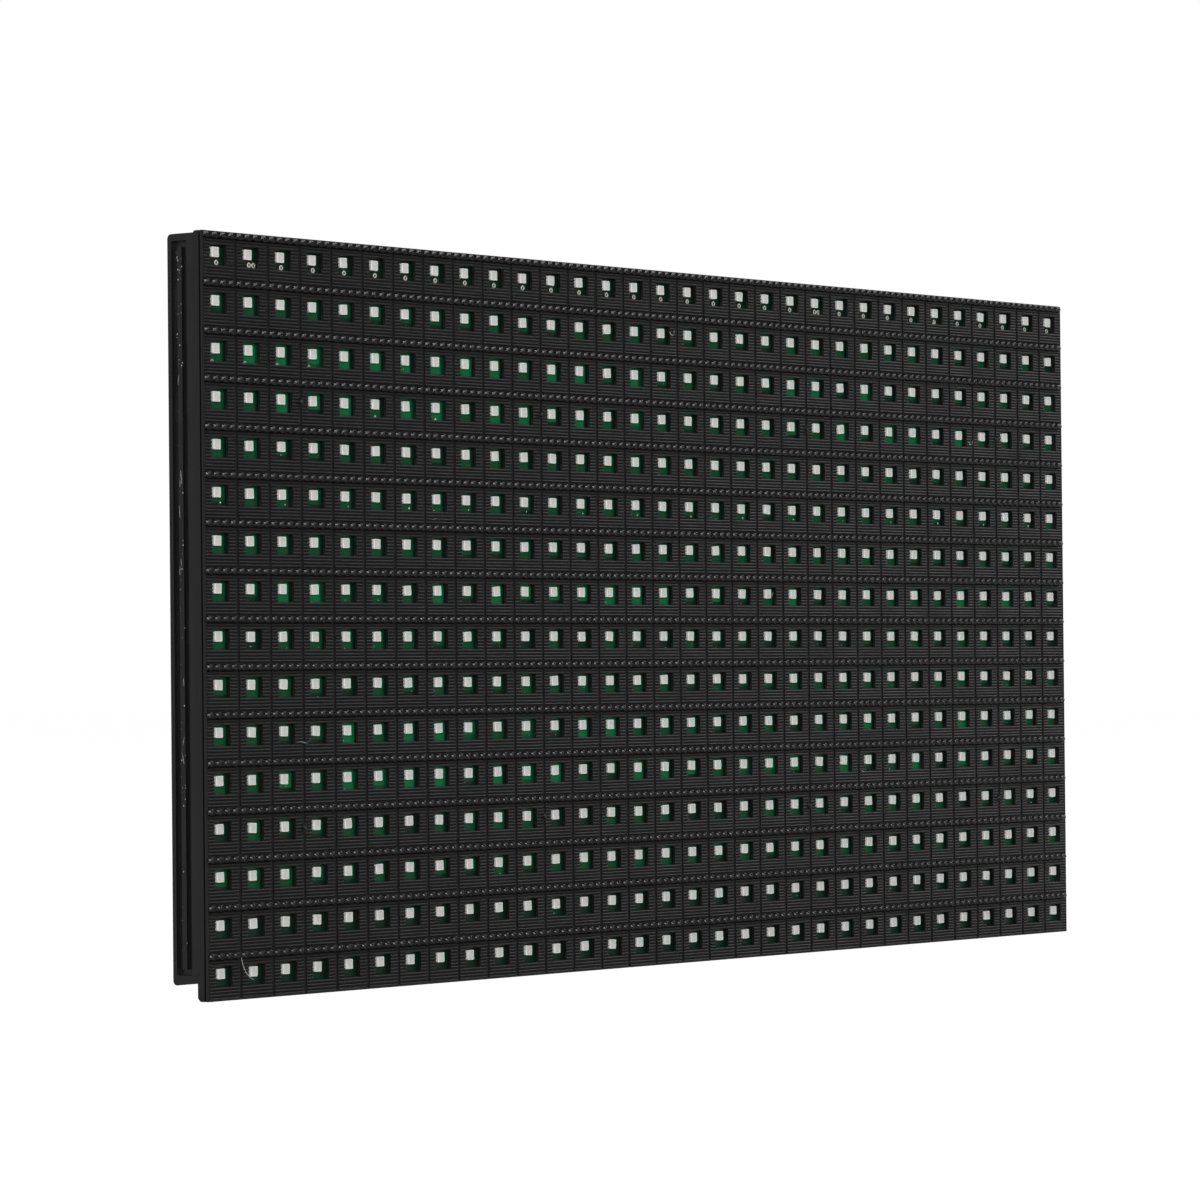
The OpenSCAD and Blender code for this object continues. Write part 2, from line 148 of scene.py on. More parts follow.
@dataclass(frozen=True)
class Finish:
    """A material's real nature, as a principled surface with a fine procedural relief.

    The second colour is mixed in by a soft cloud, so that no surface is one flat colour. The
    grain's size is a length on the real object. Where the real grain is too fine to show, as on
    moulded plastic and drawn pins, it is as coarse as it needs to be to show at all.
    """

    name: str
    colour: str
    second: str
    roughness: float
    roughness_spread: float = 0.06
    metallic: float = 0.0
    ior: float = 1.5
    grain: Grain = Grain.MOULDED
    grain_mm: float = 0.25
    relief_mm: float = 0.01
    cloud_mm: float = 12.0
    coat: float = 0.0
    depth_mm: float = 0.0

    def surface(self, tree: bpy.types.NodeTree) -> tuple[bpy.types.Node, bpy.types.Node]:
        """Makes the principled node with colour, roughness and relief linked.

        Args:
            tree: Node tree to fill.

        Returns:
            The principled node and the node of object coordinates.
        """
        place = add_node(tree, "ShaderNodeTexCoord")
        cloud = add_node(
            tree,
            "ShaderNodeTexNoise",
            {},
            {"Vector": place.outputs["Object"], "Scale": 1 / (self.cloud_mm * MM), "Detail": 4.0},
        )
        tint = add_node(
            tree,
            "ShaderNodeMix",
            {"data_type": "RGBA"},
            {"Factor": cloud.outputs["Fac"], 6: linear(self.colour), 7: linear(self.second)},
        )
        rough = add_node(
            tree,
            "ShaderNodeMapRange",
            {},
            {
                "Value": cloud.outputs["Fac"],
                "From Min": CLOUD_LOW,
                "From Max": CLOUD_HIGH,
                "To Min": self.roughness - self.roughness_spread,
                "To Max": self.roughness + self.roughness_spread,
            },
        )
        scaled = add_node(
            tree,
            "ShaderNodeMapping",
            {},
            {"Vector": place.outputs["Object"], "Scale": self.grain.stretch},
        )
        fine = add_node(
            tree,
            "ShaderNodeTexNoise",
            {},
            {"Vector": scaled.outputs["Vector"], "Scale": 1 / (self.grain_mm * MM), "Detail": 2.0},
        )
        bump = add_node(
            tree,
            "ShaderNodeBump",
            {},
            {"Height": fine.outputs["Fac"], "Distance": self.relief_mm * MM, "Strength": 1.0},
        )
        body = add_node(
            tree,
            "ShaderNodeBsdfPrincipled",
            {},
            {
                "Base Color": tint.outputs[2],
                "Roughness": rough.outputs["Result"],
                "Normal": bump.outputs["Normal"],
                "Metallic": self.metallic,
                "Coat Weight": self.coat,
            },
        )
        if self.metallic < 1.0:
            body.inputs["IOR"].default_value = self.ior
        if self.depth_mm > 0:
            body.inputs["Subsurface Weight"].default_value = 1.0
            body.inputs["Subsurface Radius"].default_value = (1.0, 1.0, 1.0)
            body.inputs["Subsurface Scale"].default_value = self.depth_mm * MM
        return body, place

    def material(self) -> bpy.types.Material:
        """Builds the Blender material, once for each name.

        Returns:
            The material, made new or found by its name.
        """
        found = bpy.data.materials.get(self.name)
        if found is not None:
            return found
        made = bpy.data.materials.new(self.name)
        made.use_nodes = True
        tree = made.node_tree
        tree.nodes.clear()
        body, place = self.surface(tree)
        self.detail(tree, body, place)
        add_node(tree, "ShaderNodeOutputMaterial", {}, {"Surface": body.outputs["BSDF"]})
        made.diffuse_color = linear(self.colour)
        return made

    def detail(
        self, tree: bpy.types.NodeTree, body: bpy.types.Node, place: bpy.types.Node
    ) -> None:
        """Adds what only one kind of surface has; a plain finish has nothing more.

        Args:
            tree: Node tree being filled.
            body: The principled node.
            place: The node of object coordinates.
        """


@dataclass(frozen=True)
class TrackedLacquer(Finish):
    """Green lacquer over laminate and copper: the copper shines through it as lighter tracks."""

    copper: str = "#0b6b3f"
    run_mm: float = 9.0
    row_mm: float = 1.27
    track_mm: float = 0.3
    pour_mm: float = 17.0

    def detail(
        self, tree: bpy.types.NodeTree, body: bpy.types.Node, place: bpy.types.Node
    ) -> None:
        """Mixes the lighter green of routed tracks and of wide pours into the lacquer.

        Args:
            tree: Node tree being filled.
            body: The principled node.
            place: The node of object coordinates.
        """
        base = body.inputs["Base Color"].links[0].from_socket
        flat = add_node(
            tree,
            "ShaderNodeMapping",
            {},
            {"Vector": place.outputs["Object"], "Rotation": (math.pi / 2, 0.0, 0.0)},
        )
        routes = add_node(
            tree,
            "ShaderNodeTexBrick",
            {"offset": 0.37, "squash": 1.6, "squash_frequency": 3},
            {
                "Vector": flat.outputs["Vector"],
                "Scale": 1.0,
                "Brick Width": self.run_mm * MM,
                "Row Height": self.row_mm * MM,
                "Mortar Size": self.track_mm * MM / 2,
                "Mortar Smooth": 0.0,
            },
        )
        pours = add_node(
            tree,
            "ShaderNodeTexVoronoi",
            {"distance": "CHEBYCHEV"},
            {"Vector": place.outputs["Object"], "Scale": 1 / (self.pour_mm * MM)},
        )
        wide = add_node(tree, "ShaderNodeValToRGB", {}, {"Fac": pours.outputs["Color"]})
        wide.color_ramp.interpolation = "CONSTANT"
        set_ramp(wide, [(0.0, "#000000"), (0.55, "#ffffff")])
        either = add_node(
            tree,
            "ShaderNodeMath",
            {"operation": "MAXIMUM"},
            {0: routes.outputs["Fac"], 1: wide.outputs["Color"]},
        )
        mixed = add_node(
            tree,
            "ShaderNodeMix",
            {"data_type": "RGBA"},
            {"Factor": either.outputs["Value"], 6: base, 7: linear(self.copper)},
        )
        tree.links.new(mixed.outputs[2], body.inputs["Base Color"])


@dataclass(frozen=True)
class WindowLacquer(Finish):
    """Green lacquer behind the windows, with the long even ripple that coating leaves."""

    grain: Grain = Grain.PRINTED
    grain_mm: float = 0.6
    cloud_mm: float = 3.0


# Polycarbonate from a spark-eroded mould: a deep, slightly grainy black with soft edges of light
MASK_BLACK = Finish(
    "Polycarbonate_moulded_matt", "#0d0d0d", "#111111", 0.42, grain_mm=0.12, relief_mm=0.008
)
# The same plastic where the tool was polished: each visor tooth catches one hard point of light
TOOTH_BLACK = Finish(
    "Polycarbonate_moulded_gloss",
    "#0b0b0b",
    "#0f0f0f",
    0.24,
    roughness_spread=0.04,
    grain_mm=0.3,
    relief_mm=0.006,
)
# Polycarbonate torn at the mould's gates: small rough, paler scars
GATE_SCAR = Finish(
    "Polycarbonate_torn", "#0c0c0c", "#1c1c1c", 0.3, grain_mm=0.1, relief_mm=0.05, cloud_mm=1.0
)
# Bottom of a narrow cut in the tool, left as eroded and rough, and painted darker than the rest of the
# mask as shade: the grooves above the plates and the gate scars' craters stay black beside the ribs
RECESS_PAINTED_SHADE = Finish(
    "Polycarbonate_coarse_painted_shade", "#070707", "#0a0a0a", 0.85, grain_mm=0.08, relief_mm=0.02
)
# Glass-filled polycarbonate, moulded smoother: the walls and the ridge catch long soft streaks
SHELL_BLACK = Finish(
    "Polycarbonate_moulded_satin",
    "#0e0f0f",
    "#141414",
    0.38,
    roughness_spread=0.1,
    grain_mm=0.5,
    relief_mm=0.02,
    cloud_mm=6.0,
)
# White moulded cup of a lamp: light soaks in a little, so its shaded walls stay pale too
LAMP_HOUSING = Finish(
    "Polyphthalamide_moulded_white",
    "#f2f2ef",
    "#eaeae7",
    0.5,
    grain_mm=0.08,
    relief_mm=0.004,
    cloud_mm=0.8,
    depth_mm=0.4,
)
# Frosted silicone that fills the lamp's cup: a shade greyer than the white wall round it
LAMP_RESIN = Finish(
    "Silicone_resin_frosted",
    "#cdcecc",
    "#d8d9d6",
    0.55,
    ior=1.42,
    grain=Grain.FROSTED,
    grain_mm=0.08,
    relief_mm=0.006,
    cloud_mm=0.8,
    depth_mm=0.5,
)
# Lacquered glass-epoxy laminate seen from the rear: satin dark green with lighter tracks
BOARD_GREEN = TrackedLacquer(
    "Glass_epoxy_lacquered",
    "#0a3a24",
    "#08301e",
    0.32,
    grain=Grain.PRINTED,
    grain_mm=0.6,
    relief_mm=0.01,
    cloud_mm=8.0,
)
# Lacquer over bare laminate: nearly black green behind the windows; the same green also serves as
# painted shade in the strip at the right of most windows
POUR_BARE_OR_SHADE = WindowLacquer("Lacquer_on_bare_laminate_or_painted_shade", "#122d20", "#0e2319", 0.34)
# Lacquer over a thin weave of tracks: dark green
POUR_TRACKS = WindowLacquer("Lacquer_on_tracks", "#095433", "#074329", 0.34)
# Lacquer over a broad copper area: a clear middle green
POUR_COPPER = WindowLacquer("Lacquer_on_copper", "#047646", "#03643a", 0.32)
# Lacquer over unbroken, thick-plated copper: the brightest green on the board
POUR_BRIGHT = WindowLacquer("Lacquer_on_plated_copper", "#00884e", "#007843", 0.3)
# Reflowed tin solder under a film of flux: pale, dull and slightly crumpled
SOLDER = Finish(
    "Tin_solder_reflowed",
    "#e4e2da",
    "#c9c6bd",
    0.42,
    metallic=0.3,
    grain_mm=0.3,
    relief_mm=0.03,
    cloud_mm=1.5,
)
# Drilled hole seen end on: a flat near-black disc across its mouth, painted shade for the hole's depth
HOLE_PAINTED_SHADE = Finish(
    "Drilled_hole_painted_shade", "#0c0f0d", "#121512", 0.7, grain_mm=0.1, relief_mm=0.01, cloud_mm=1.0
)
# White ink screen-printed on the lacquer: chalky lines with soft edges
SILK_INK = Finish(
    "Epoxy_ink_screen_printed",
    "#d8dad6",
    "#c6c9c4",
    0.6,
    grain=Grain.PRINTED,
    grain_mm=0.15,
    relief_mm=0.01,
    cloud_mm=2.0,
)
# Epoxy moulding compound of the chips: charcoal with a fine sandy grain
CHIP_EPOXY = Finish(
    "Epoxy_transfer_moulded", "#202124", "#292a2c", 0.5, grain_mm=0.09, relief_mm=0.01, cloud_mm=4.0
)
# Tin-plated copper leads: bright with a satin edge
TINNED_LEAD = Finish(
    "Copper_tin_plated",
    "#cfcfca",
    "#bcbbb6",
    0.28,
    metallic=1.0,
    grain_mm=0.2,
    relief_mm=0.006,
    cloud_mm=1.0,
)
# Glass glaze over a printed film resistor: smooth black with a wet look
RESISTOR_GLAZE = Finish(
    "Glass_glaze_fired", "#131315", "#1c1c1f", 0.22, grain_mm=0.3, relief_mm=0.004, cloud_mm=1.0
)
# Sintered barium titanate of the capacitors: warm tan, dull and even
CERAMIC_TAN = Finish(
    "Barium_titanate_sintered", "#a88a60", "#98794f", 0.5, grain_mm=0.1, relief_mm=0.006, cloud_mm=1.0
)
# Deep-drawn aluminium can: fine upright draw lines under a clear lacquer
CAN_ALUMINIUM = Finish(
    "Aluminium_deep_drawn",
    "#c9cbcd",
    "#bfc1c3",
    0.25,
    metallic=1.0,
    grain=Grain.DRAWN,
    grain_mm=0.12,
    relief_mm=0.006,
    cloud_mm=3.0,
)
# Black ink printed on the can's top to mark the minus side
CAN_INK = Finish(
    "Epoxy_ink_pad_printed", "#15161a", "#1c1d22", 0.45, grain_mm=0.2, relief_mm=0.005, cloud_mm=2.0
)
# Glass-filled nylon of the capacitors' bases: dull black
BASE_BLACK = Finish(
    "Nylon_glass_filled_moulded", "#1b1b1b", "#242424", 0.5, grain_mm=0.2, relief_mm=0.01
)
# Glass-filled polyester of the data headers: satin black with faint flow marks
HEADER_BLACK = Finish(
    "Polyester_glass_filled_moulded",
    "#1d1d1f",
    "#28282a",
    0.4,
    grain_mm=0.25,
    relief_mm=0.012,
    cloud_mm=3.0,
)
# Flash gold over nickel on the data pins: warm bright metal
PIN_GOLD = Finish(
    "Brass_gold_flashed",
    "#d8b765",
    "#cfac58",
    0.22,
    metallic=1.0,
    grain=Grain.DRAWN,
    grain_mm=0.1,
    relief_mm=0.004,
    cloud_mm=2.0,
)
# Unfilled nylon of the power header: milky off-white that glows a little at its edges
NYLON_WHITE = Finish(
    "Nylon_unfilled_moulded",
    "#e4e0d3",
    "#dcd7c8",
    0.45,
    grain_mm=0.3,
    relief_mm=0.01,
    cloud_mm=4.0,
    depth_mm=0.4,
)
# Tin over brass on the power pins: grey-white satin metal
PIN_TIN = Finish(
    "Brass_tin_plated",
    "#c4c4c0",
    "#b2b2ae",
    0.32,
    metallic=1.0,
    grain=Grain.DRAWN,
    grain_mm=0.1,
    relief_mm=0.005,
    cloud_mm=1.5,
)
# Turned free-cutting brass of the inserts: yellow with fine lathe rings
INSERT_BRASS = Finish(
    "Brass_turned",
    "#c9a04a",
    "#b98f3d",
    0.26,
    metallic=1.0,
    grain=Grain.TURNED,
    grain_mm=0.1,
    relief_mm=0.006,
    cloud_mm=2.0,
)
# Zinc-plated, cold-headed steel of the screws: blue-grey satin
SCREW_ZINC = Finish(
    "Steel_zinc_plated",
    "#a9adb0",
    "#969a9e",
    0.3,
    metallic=1.0,
    grain_mm=0.15,
    relief_mm=0.01,
    cloud_mm=1.5,
)
# Fine textile fibres and dust: matt and nearly white
LINT = Finish(
    "Cotton_fibre_lint", "#c8c8c4", "#aeaeaa", 0.9, grain_mm=0.05, relief_mm=0.005, cloud_mm=0.6
)


# ---------------------------------------------------------------- meshes


def bands(rings: int, steps: int, flip: bool = False) -> list[tuple[int, ...]]:
    """Lists the faces between closed rings of points that follow one another.

    Args:
        rings: Number of rings.
        steps: Points in each ring.
        flip: Whether the faces look the other way.

    Returns:
        Corner numbers of each face.
    """
    faces = []
    for ring in range(rings - 1):
        near, far = ring * steps, (ring + 1) * steps
        for k in range(steps):
            step = (k + 1) % steps
            face = (near + k, far + k, far + step, near + step)
            faces.append(face[:1] + face[:0:-1] if flip else face)
    return faces


def fan(first: int, steps: int, tip: int) -> list[tuple[int, ...]]:
    """Lists the triangles from a ring of points to one point.

    Args:
        first: Number of the ring's first point.
        steps: Points in the ring.
        tip: Number of the one point.

    Returns:
        Corner numbers of each triangle.
    """
    return [(first + k, first + (k + 1) % steps, tip) for k in range(steps)]


def circle(steps: int) -> list[float]:
    """Angles of evenly spaced points on a full turn."""
    return [math.tau * k / steps for k in range(steps)]


def place_object(name: str, data: bpy.types.ID) -> bpy.types.Object:
    """Puts a mesh, lamp or camera into the scene.

    Args:
        name: Name of the object.
        data: What it holds.

    Returns:
        The new object.
    """
    made = bpy.data.objects.new(name, data)
    bpy.context.scene.collection.objects.link(made)
    return made


class Shape:
    """Points and faces of one piece, gathered in millimetres, with a finish for each face."""

    def __init__(self) -> None:
        """Starts an empty shape."""
        self.points: list[np.ndarray] = []
        self.faces: list[list[int]] = []
        self.slots: list[int] = []
        self.count = 0

    def add(
        self,
        points: Iterable[Sequence[float]],
        faces: Iterable[Sequence[int]],
        slot: int = 0,
    ) -> None:
        """Adds points and the faces between them.

        Args:
            points: Points in millimetres.
            faces: Corner numbers of each face, counted from this call's first point.
            slot: Number of the finish.
        """
        block = np.array(list(points), float).reshape(-1, 3)
        rows = [[corner + self.count for corner in face] for face in faces]
        self.points.append(block)
        self.faces.extend(rows)
        self.slots.extend([slot] * len(rows))
        self.count += len(block)

    def box(self, low: Sequence[float], high: Sequence[float], slot: int = 0) -> None:
        """Adds a closed box.

        Args:
            low: Lowest corner.
            high: Highest corner.
            slot: Number of the finish.
        """
        (x0, y0, z0), (x1, y1, z1) = low, high
        corners = [(x, y, z) for x in (x0, x1) for y in (y0, y1) for z in (z0, z1)]
        sides = [(0, 1, 3, 2), (4, 6, 7, 5), (0, 4, 5, 1), (2, 3, 7, 6), (0, 2, 6, 4), (1, 5, 7, 3)]
        self.add(corners, sides, slot)

    def lathe(
        self,
        profile: Sequence[tuple[float, float]],
        centre: Sequence[float],
        steps: int = 16,
        slot: int = 0,
    ) -> None:
        """Turns a profile about an axis along Y.

        Args:
            profile: Radius and Y of each ring, from one end to the other.
            centre: X and Z of the axis.
            steps: Sides of a full turn.
            slot: Number of the finish.
        """
        cx, cz = centre
        points = [
            (cx + radius * math.cos(turn), y, cz + radius * math.sin(turn))
            for radius, y in profile
            for turn in circle(steps)
        ]
        self.add(points, bands(len(profile), steps), slot)

    def copies(self, other: "Shape", moves: Sequence[Sequence[float]]) -> None:
        """Adds a copy of another shape at each move.

        Args:
            other: Shape to copy.
            moves: Offset of each copy.
        """
        block = np.concatenate(other.points)
        for move in moves:
            self.points.append(block + np.array(move, float))
            self.faces.extend([c + self.count for c in face] for face in other.faces)
            self.slots.extend(other.slots)
            self.count += len(block)

    def piece(
        self,
        name: str,
        finishes: Sequence[Finish],
        slot_name: str,
        replaced: Sequence[str] = (),
    ) -> bpy.types.Object:
        """Makes the Blender object and ties it to the frame.

        Args:
            name: Name of the piece.
            finishes: Finish of each slot number.
            slot_name: Not used.
            replaced: CAD nodes that the piece stands for.

        Returns:
            The new object.
        """
        mesh = bpy.data.meshes.new(name)
        mesh.from_pydata((np.concatenate(self.points) * MM).tolist(), [], self.faces)
        mesh.polygons.foreach_set("material_index", self.slots)
        mesh.validate()
        mesh.update()
        for finish in finishes:
            mesh.materials.append(finish.material())
        made = place_object(name, mesh)
        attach(made, BODY)
        if replaced:
            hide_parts(*replaced)
        triangles = sum(len(face) - 2 for face in self.faces)
        LOG.info("%s: %d triangles", name, triangles)
        return made


# ---------------------------------------------------------------- the frame and the module's grid


def loose_parts(node: str) -> list[tuple[Vector, Vector]]:
    """Finds the separate solids of a CAD node.

    Args:
        node: Name of the node.

    Returns:
        Lowest and highest corner of each solid in millimetres, sorted by place.
    """
    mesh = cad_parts[node].data
    spots = [tuple(round(c / MM, 3) for c in vertex.co) for vertex in mesh.vertices]
    owner: dict[tuple[float, float, float], int] = {}
    parent = list(range(len(spots)))

    def root(k: int) -> int:
        """Finds the point that stands for the whole solid.

        Args:
            k: Number of any point on the solid.

        Returns:
            Number of the point that stands for it.
        """
        while parent[k] != k:
            parent[k] = parent[parent[k]]
            k = parent[k]
        return k

    for k, spot in enumerate(spots):
        parent[root(k)] = root(owner.setdefault(spot, k))
    for edge in mesh.edges:
        a, b = edge.vertices
        parent[root(a)] = root(b)
    groups: dict[int, list[tuple[float, float, float]]] = {}
    for k, spot in enumerate(spots):
        groups.setdefault(root(k), []).append(spot)
    boxes = []
    for group in groups.values():
        low = Vector([min(p[k] for p in group) for k in range(3)])
        high = Vector([max(p[k] for p in group) for k in range(3)])
        boxes.append((low, high))
    return sorted(boxes, key=lambda pair: (round(pair[0].x, 1), pair[0].z))


def dress(node: str, finish: Finish) -> None:
    """Gives a CAD node its finish.

    Args:
        node: Name of the node.
        finish: Its finish.
    """
    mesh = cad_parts[node].data
    mesh.materials.clear()
    mesh.materials.append(finish.material())
    LOG.info("%s: %s", node, finish.name)


@dataclass(frozen=True)
class Grid:
    """Where the lamps' cells lie, worked out from the frame."""

    cols: int = 32
    rows: int = 16
    width: float = 320.0
    height: float = 160.0
    board_front: float = -10.6
    board_rear: float = -9.0
    board_seat: float = 1.4
    lamp_up: float = 0.62
    screw_inset: int = 3
    screw_middle: int = 5
    screw_rise: float = 4.5

    @classmethod
    def from_frame(cls) -> "Grid":
        """Reads the panel, the board and the lamps from the frame.

        Returns:
            The grid.
        """
        mask_low, mask_high = (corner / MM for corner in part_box("mask"))
        board_low, board_high = (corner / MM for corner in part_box("circuit_board"))
        lamp_low, lamp_high = (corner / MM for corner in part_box("lamps"))
        width = mask_high.x - mask_low.x
        height = mask_high.z - mask_low.z
        return cls(
            width=width,
            height=height,
            board_front=board_low.y,
            board_rear=board_high.y,
            lamp_up=(lamp_low.z + lamp_high.z) / 2,
        )

    @property
    def pitch(self) -> float:
        """Distance between neighbouring lamps."""
        return self.width / self.cols

    @property
    def face(self) -> float:
        """Y of the plane through the mask's rib crests."""
        return self.board_front - self.board_seat

    def centre(self, col: int, row: int) -> tuple[float, float]:
        """Works out the middle of a cell.

        Args:
            col: Column, counted from the left.
            row: Row, counted from the bottom.

        Returns:
            X and Z of its middle.
        """
        x = (col - (self.cols - 1) / 2) * self.pitch
        z = (row - (self.rows - 1) / 2) * self.pitch
        return x, z

    def screws(self) -> list[tuple[float, float]]:
        """Works out where the mask screws lie, on the grid's own pitch.

        Returns:
            X and Z of each screw.
        """
        side, middle, rise = self.cols / 2 - self.screw_inset, self.screw_middle, self.screw_rise
        columns = (-side, -middle, middle, side)
        return [(x * self.pitch, z * self.pitch) for x in columns for z in (-rise, rise)]

    def cells(self) -> list[tuple[int, int]]:
        """Column and row of every cell."""
        return [(col, row) for row in range(self.rows) for col in range(self.cols)]

    def spots(self) -> list[tuple[float, float, float]]:
        """Offset from the origin to the middle of every cell."""
        return [(x, 0.0, z) for x, z in (self.centre(*cell) for cell in self.cells())]


# ---------------------------------------------------------------- mask


@dataclass
class Mask:
    """The moulded mask: ribbed face, windows, toothed visors and rim."""

    grid: Grid
    # Face, windows and the channels behind their rows
    face_t: float = 0.7
    window_w: float = 4.95
    window_h: float = 4.5
    window_shift: float = -0.12
    channel_h: float = 6.0
    channel_end: float = 2.0
    # Rim, with its bevel at the top and bottom
    rim_t: float = 1.0
    rim_bevel: float = 0.7
    # Gap round each cell's raised plate, and the groove above the plate
    gap_w: float = 0.85
    gap_depth: float = 0.32
    plate_low: float = -4.75
    plate_high: float = 3.4
    plate_depth: float = 0.24
    groove_w: float = 0.22
    groove_d: float = 0.6
    # Ribs across a plate
    rib_count: int = 12
    rib_first: float = -4.5
    rib_pitch: float = 0.695
    rib_crest: float = 0.1
    rib_foot: float = 0.6
    rib_knee: float = 0.3
    # Visors and their teeth
    visor_root: float = 1.3
    visor_out: float = 0.9
    visor_drop: float = 0.1
    visor_end: float = 0.3
    tooth_pitch: float = 2.5
    tooth_first: float = 0.35
    tooth_valley: float = 0.33
    tooth_foot: float = 0.44
    tooth_r: float = 0.42
    tooth_turn: float = -10.0
    tooth_steps: int = 12
    tooth_base: tuple[float, float] = (0.85, 0.8)
    # Line moulded round the sides, and the rounded front edge as inset and depth
    line_at: float = 0.7
    line_w: float = 0.42
    line_d: float = 0.5
    edge: tuple[tuple[float, float], ...] = ((0.34, 0.06), (0.16, 0.0), (0.04, 0.04), (0.0, 0.16))
    # Screw bosses
    boss_r: float = 1.9
    boss_bore: float = 0.83
    boss_reach: float = 2.0
    boss_pilot: float = 1.7
    # Gate scars, as reach and height of each ring
    scar_rings: tuple[tuple[float, float], ...] = (
        (0.95, -0.02),
        (0.55, 0.1),
        (0.42, -0.25),
        (0.16, -0.4),
    )
    scar_tip: float = -0.3
    scar_steps: int = 9
    scar_seed: int = 5

    @property
    def window(self) -> tuple[float, float, float, float]:
        """Low X, high X, low Z and high Z of a window, from the middle of its cell."""
        w, h = self.window_w / 2, self.window_h / 2
        return (self.window_shift - w, self.window_shift + w, -h, h)

    def _frame_of(
        self, y: float, outer: Sequence[float], inner: Sequence[float]
    ) -> list[list[tuple[float, float, float]]]:
        """Makes the four flat strips between an outer and an inner rectangle.

        Args:
            y: Y of the strips.
            outer: Low X, high X, low Z and high Z of the outer rectangle.
            inner: The same of the inner one.

        Returns:
            Corner points of each strip.
        """
        ox0, ox1, oz0, oz1 = outer
        ix0, ix1, iz0, iz1 = inner
        strips = [
            (ox0, ox1, oz0, iz0),
            (ox0, ox1, iz1, oz1),
            (ox0, ix0, iz0, iz1),
            (ix1, ox1, iz0, iz1),
        ]
        return [[(x0, y, z0), (x1, y, z0), (x1, y, z1), (x0, y, z1)] for x0, x1, z0, z1 in strips]

    def _rib(self, cell: Shape, x0: float, x1: float, z: float) -> None:
        """Adds one rib with its sloping flanks and closed ends.

        Args:
            cell: Shape to add to.
            x0: Left end.
            x1: Right end.
            z: Height of its crest.
        """
        low, top = self.rib_foot / 2, self.rib_crest / 2
        knee, drop = (low + top) / 2, self.plate_depth * self.rib_knee
        half = [(top, 0.0), (knee, drop), (low, self.plate_depth)]
        section = [(-h, d) for h, d in reversed(half)] + half
        count = len(section)
        points = [(x, self.grid.face + d, z + h) for x in (x0, x1) for h, d in section]
        faces = [(k, count + k, count + k + 1, k + 1) for k in range(count - 1)]
        faces += [tuple(range(count)), tuple(range(2 * count - 1, count - 1, -1))]
        cell.add(points, faces)

    def build_face(self) -> bpy.types.Object:
        """Builds the ribbed plates around the windows and the lower floor between them.

        Returns:
            The finished piece.
        """
        half = self.grid.pitch / 2
        plate = half - self.gap_w / 2
        window = self.window
        face = self.grid.face
        cell = Shape()
        over = self.plate_high + self.groove_w
        floor = self._frame_of(face + self.gap_depth, (-half, half, -half, self.plate_high), window)
        cut = [(self.plate_high, self.gap_depth), (self.plate_high, self.groove_d)]
        cut += [(over, self.groove_d), (over, self.gap_depth), (half, self.gap_depth)]
        points = [(x, face + d, z) for x in (-half, half) for z, d in cut]
        # The groove's walls and floor take the finish painted darker as shade
        for k in range(4):
            cell.add(points, [(k, k + 5, k + 6, k + 1)], 1 if k < 3 else 0)
        outer = (-plate, plate, self.plate_low, self.plate_high)
        for strip in floor + self._frame_of(face + self.plate_depth, outer, window):
            cell.add(strip, [(0, 1, 2, 3)])
        corners = [(-plate, outer[2]), (plate, outer[2]), (plate, outer[3]), (-plate, outer[3])]
        for k in range(4):
            (xa, za), (xb, zb) = corners[k], corners[(k + 1) % 4]
            edge = [
                (xa, face + self.plate_depth, za),
                (xa, face + self.gap_depth, za),
                (xb, face + self.gap_depth, zb),
                (xb, face + self.plate_depth, zb),
            ]
            cell.add(edge, [(0, 1, 2, 3)])
        for k in range(self.rib_count):
            z = self.rib_first + k * self.rib_pitch
            if abs(z) < self.window_h / 2:
                self._rib(cell, -plate, window[0], z)
                self._rib(cell, window[1], plate, z)
            else:
                self._rib(cell, -plate, plate, z)
        skin = Shape()
        skin.copies(cell, self.grid.spots())
        return skin.piece("mask_face", [MASK_BLACK, RECESS_PAINTED_SHADE], "mask_plastic", ["mask"])

    def build_body(self) -> bpy.types.Object:
        """Builds the windows' walls, the channels behind them, the rim and the visors' ridges.

        Returns:
            The finished piece.
        """
        grid = self.grid
        back = grid.face + self.face_t
        front = grid.face + self.plate_depth
        x0, x1, z0, z1 = self.window
        cell = Shape()
        corners = [(x0, z0), (x1, z0), (x1, z1), (x0, z1)]
        for k in range(4):
            (xa, za), (xb, zb) = corners[k], corners[(k + 1) % 4]
            wall = [(xa, front, za), (xb, front, zb), (xb, back, zb), (xa, back, za)]
            cell.add(wall, [(0, 1, 2, 3)])
        body = Shape()
        body.copies(cell, grid.spots())
        self._backs(body, back)
        self._rim(body)
        self._bosses(body)
        self._ridges(body)
        return body.piece("mask_body", [MASK_BLACK], "mask_plastic", ["mask"])

    def _backs(self, body: Shape, back: float) -> None:
        """Adds the face's rear around the windows and the bars between the channels.

        Args:
            body: Shape to add to.
            back: Y of the face's rear.
        """
        grid = self.grid
        half = grid.pitch / 2
        window = self.window
        tall = self.channel_h / 2
        cell = Shape()
        for strip in self._frame_of(back, (-half, half, -tall, tall), window):
            cell.add(strip, [(3, 2, 1, 0)])
        body.copies(cell, grid.spots())
        end = grid.width / 2 - self.channel_end
        for row in range(grid.rows + 1):
            z = (row - grid.rows / 2) * grid.pitch
            low = max(z - half + tall, -grid.height / 2 + self.rim_t)
            high = min(z + half - tall, grid.height / 2 - self.rim_t)
            body.box((-end, back, low), (end, grid.board_front, high))
        for side in (-1, 1):
            x0, x1 = sorted((side * end, side * (grid.width / 2 - self.rim_t)))
            tall_z = grid.height / 2 - self.rim_t
            body.box((x0, back, -tall_z), (x1, grid.board_front, tall_z))

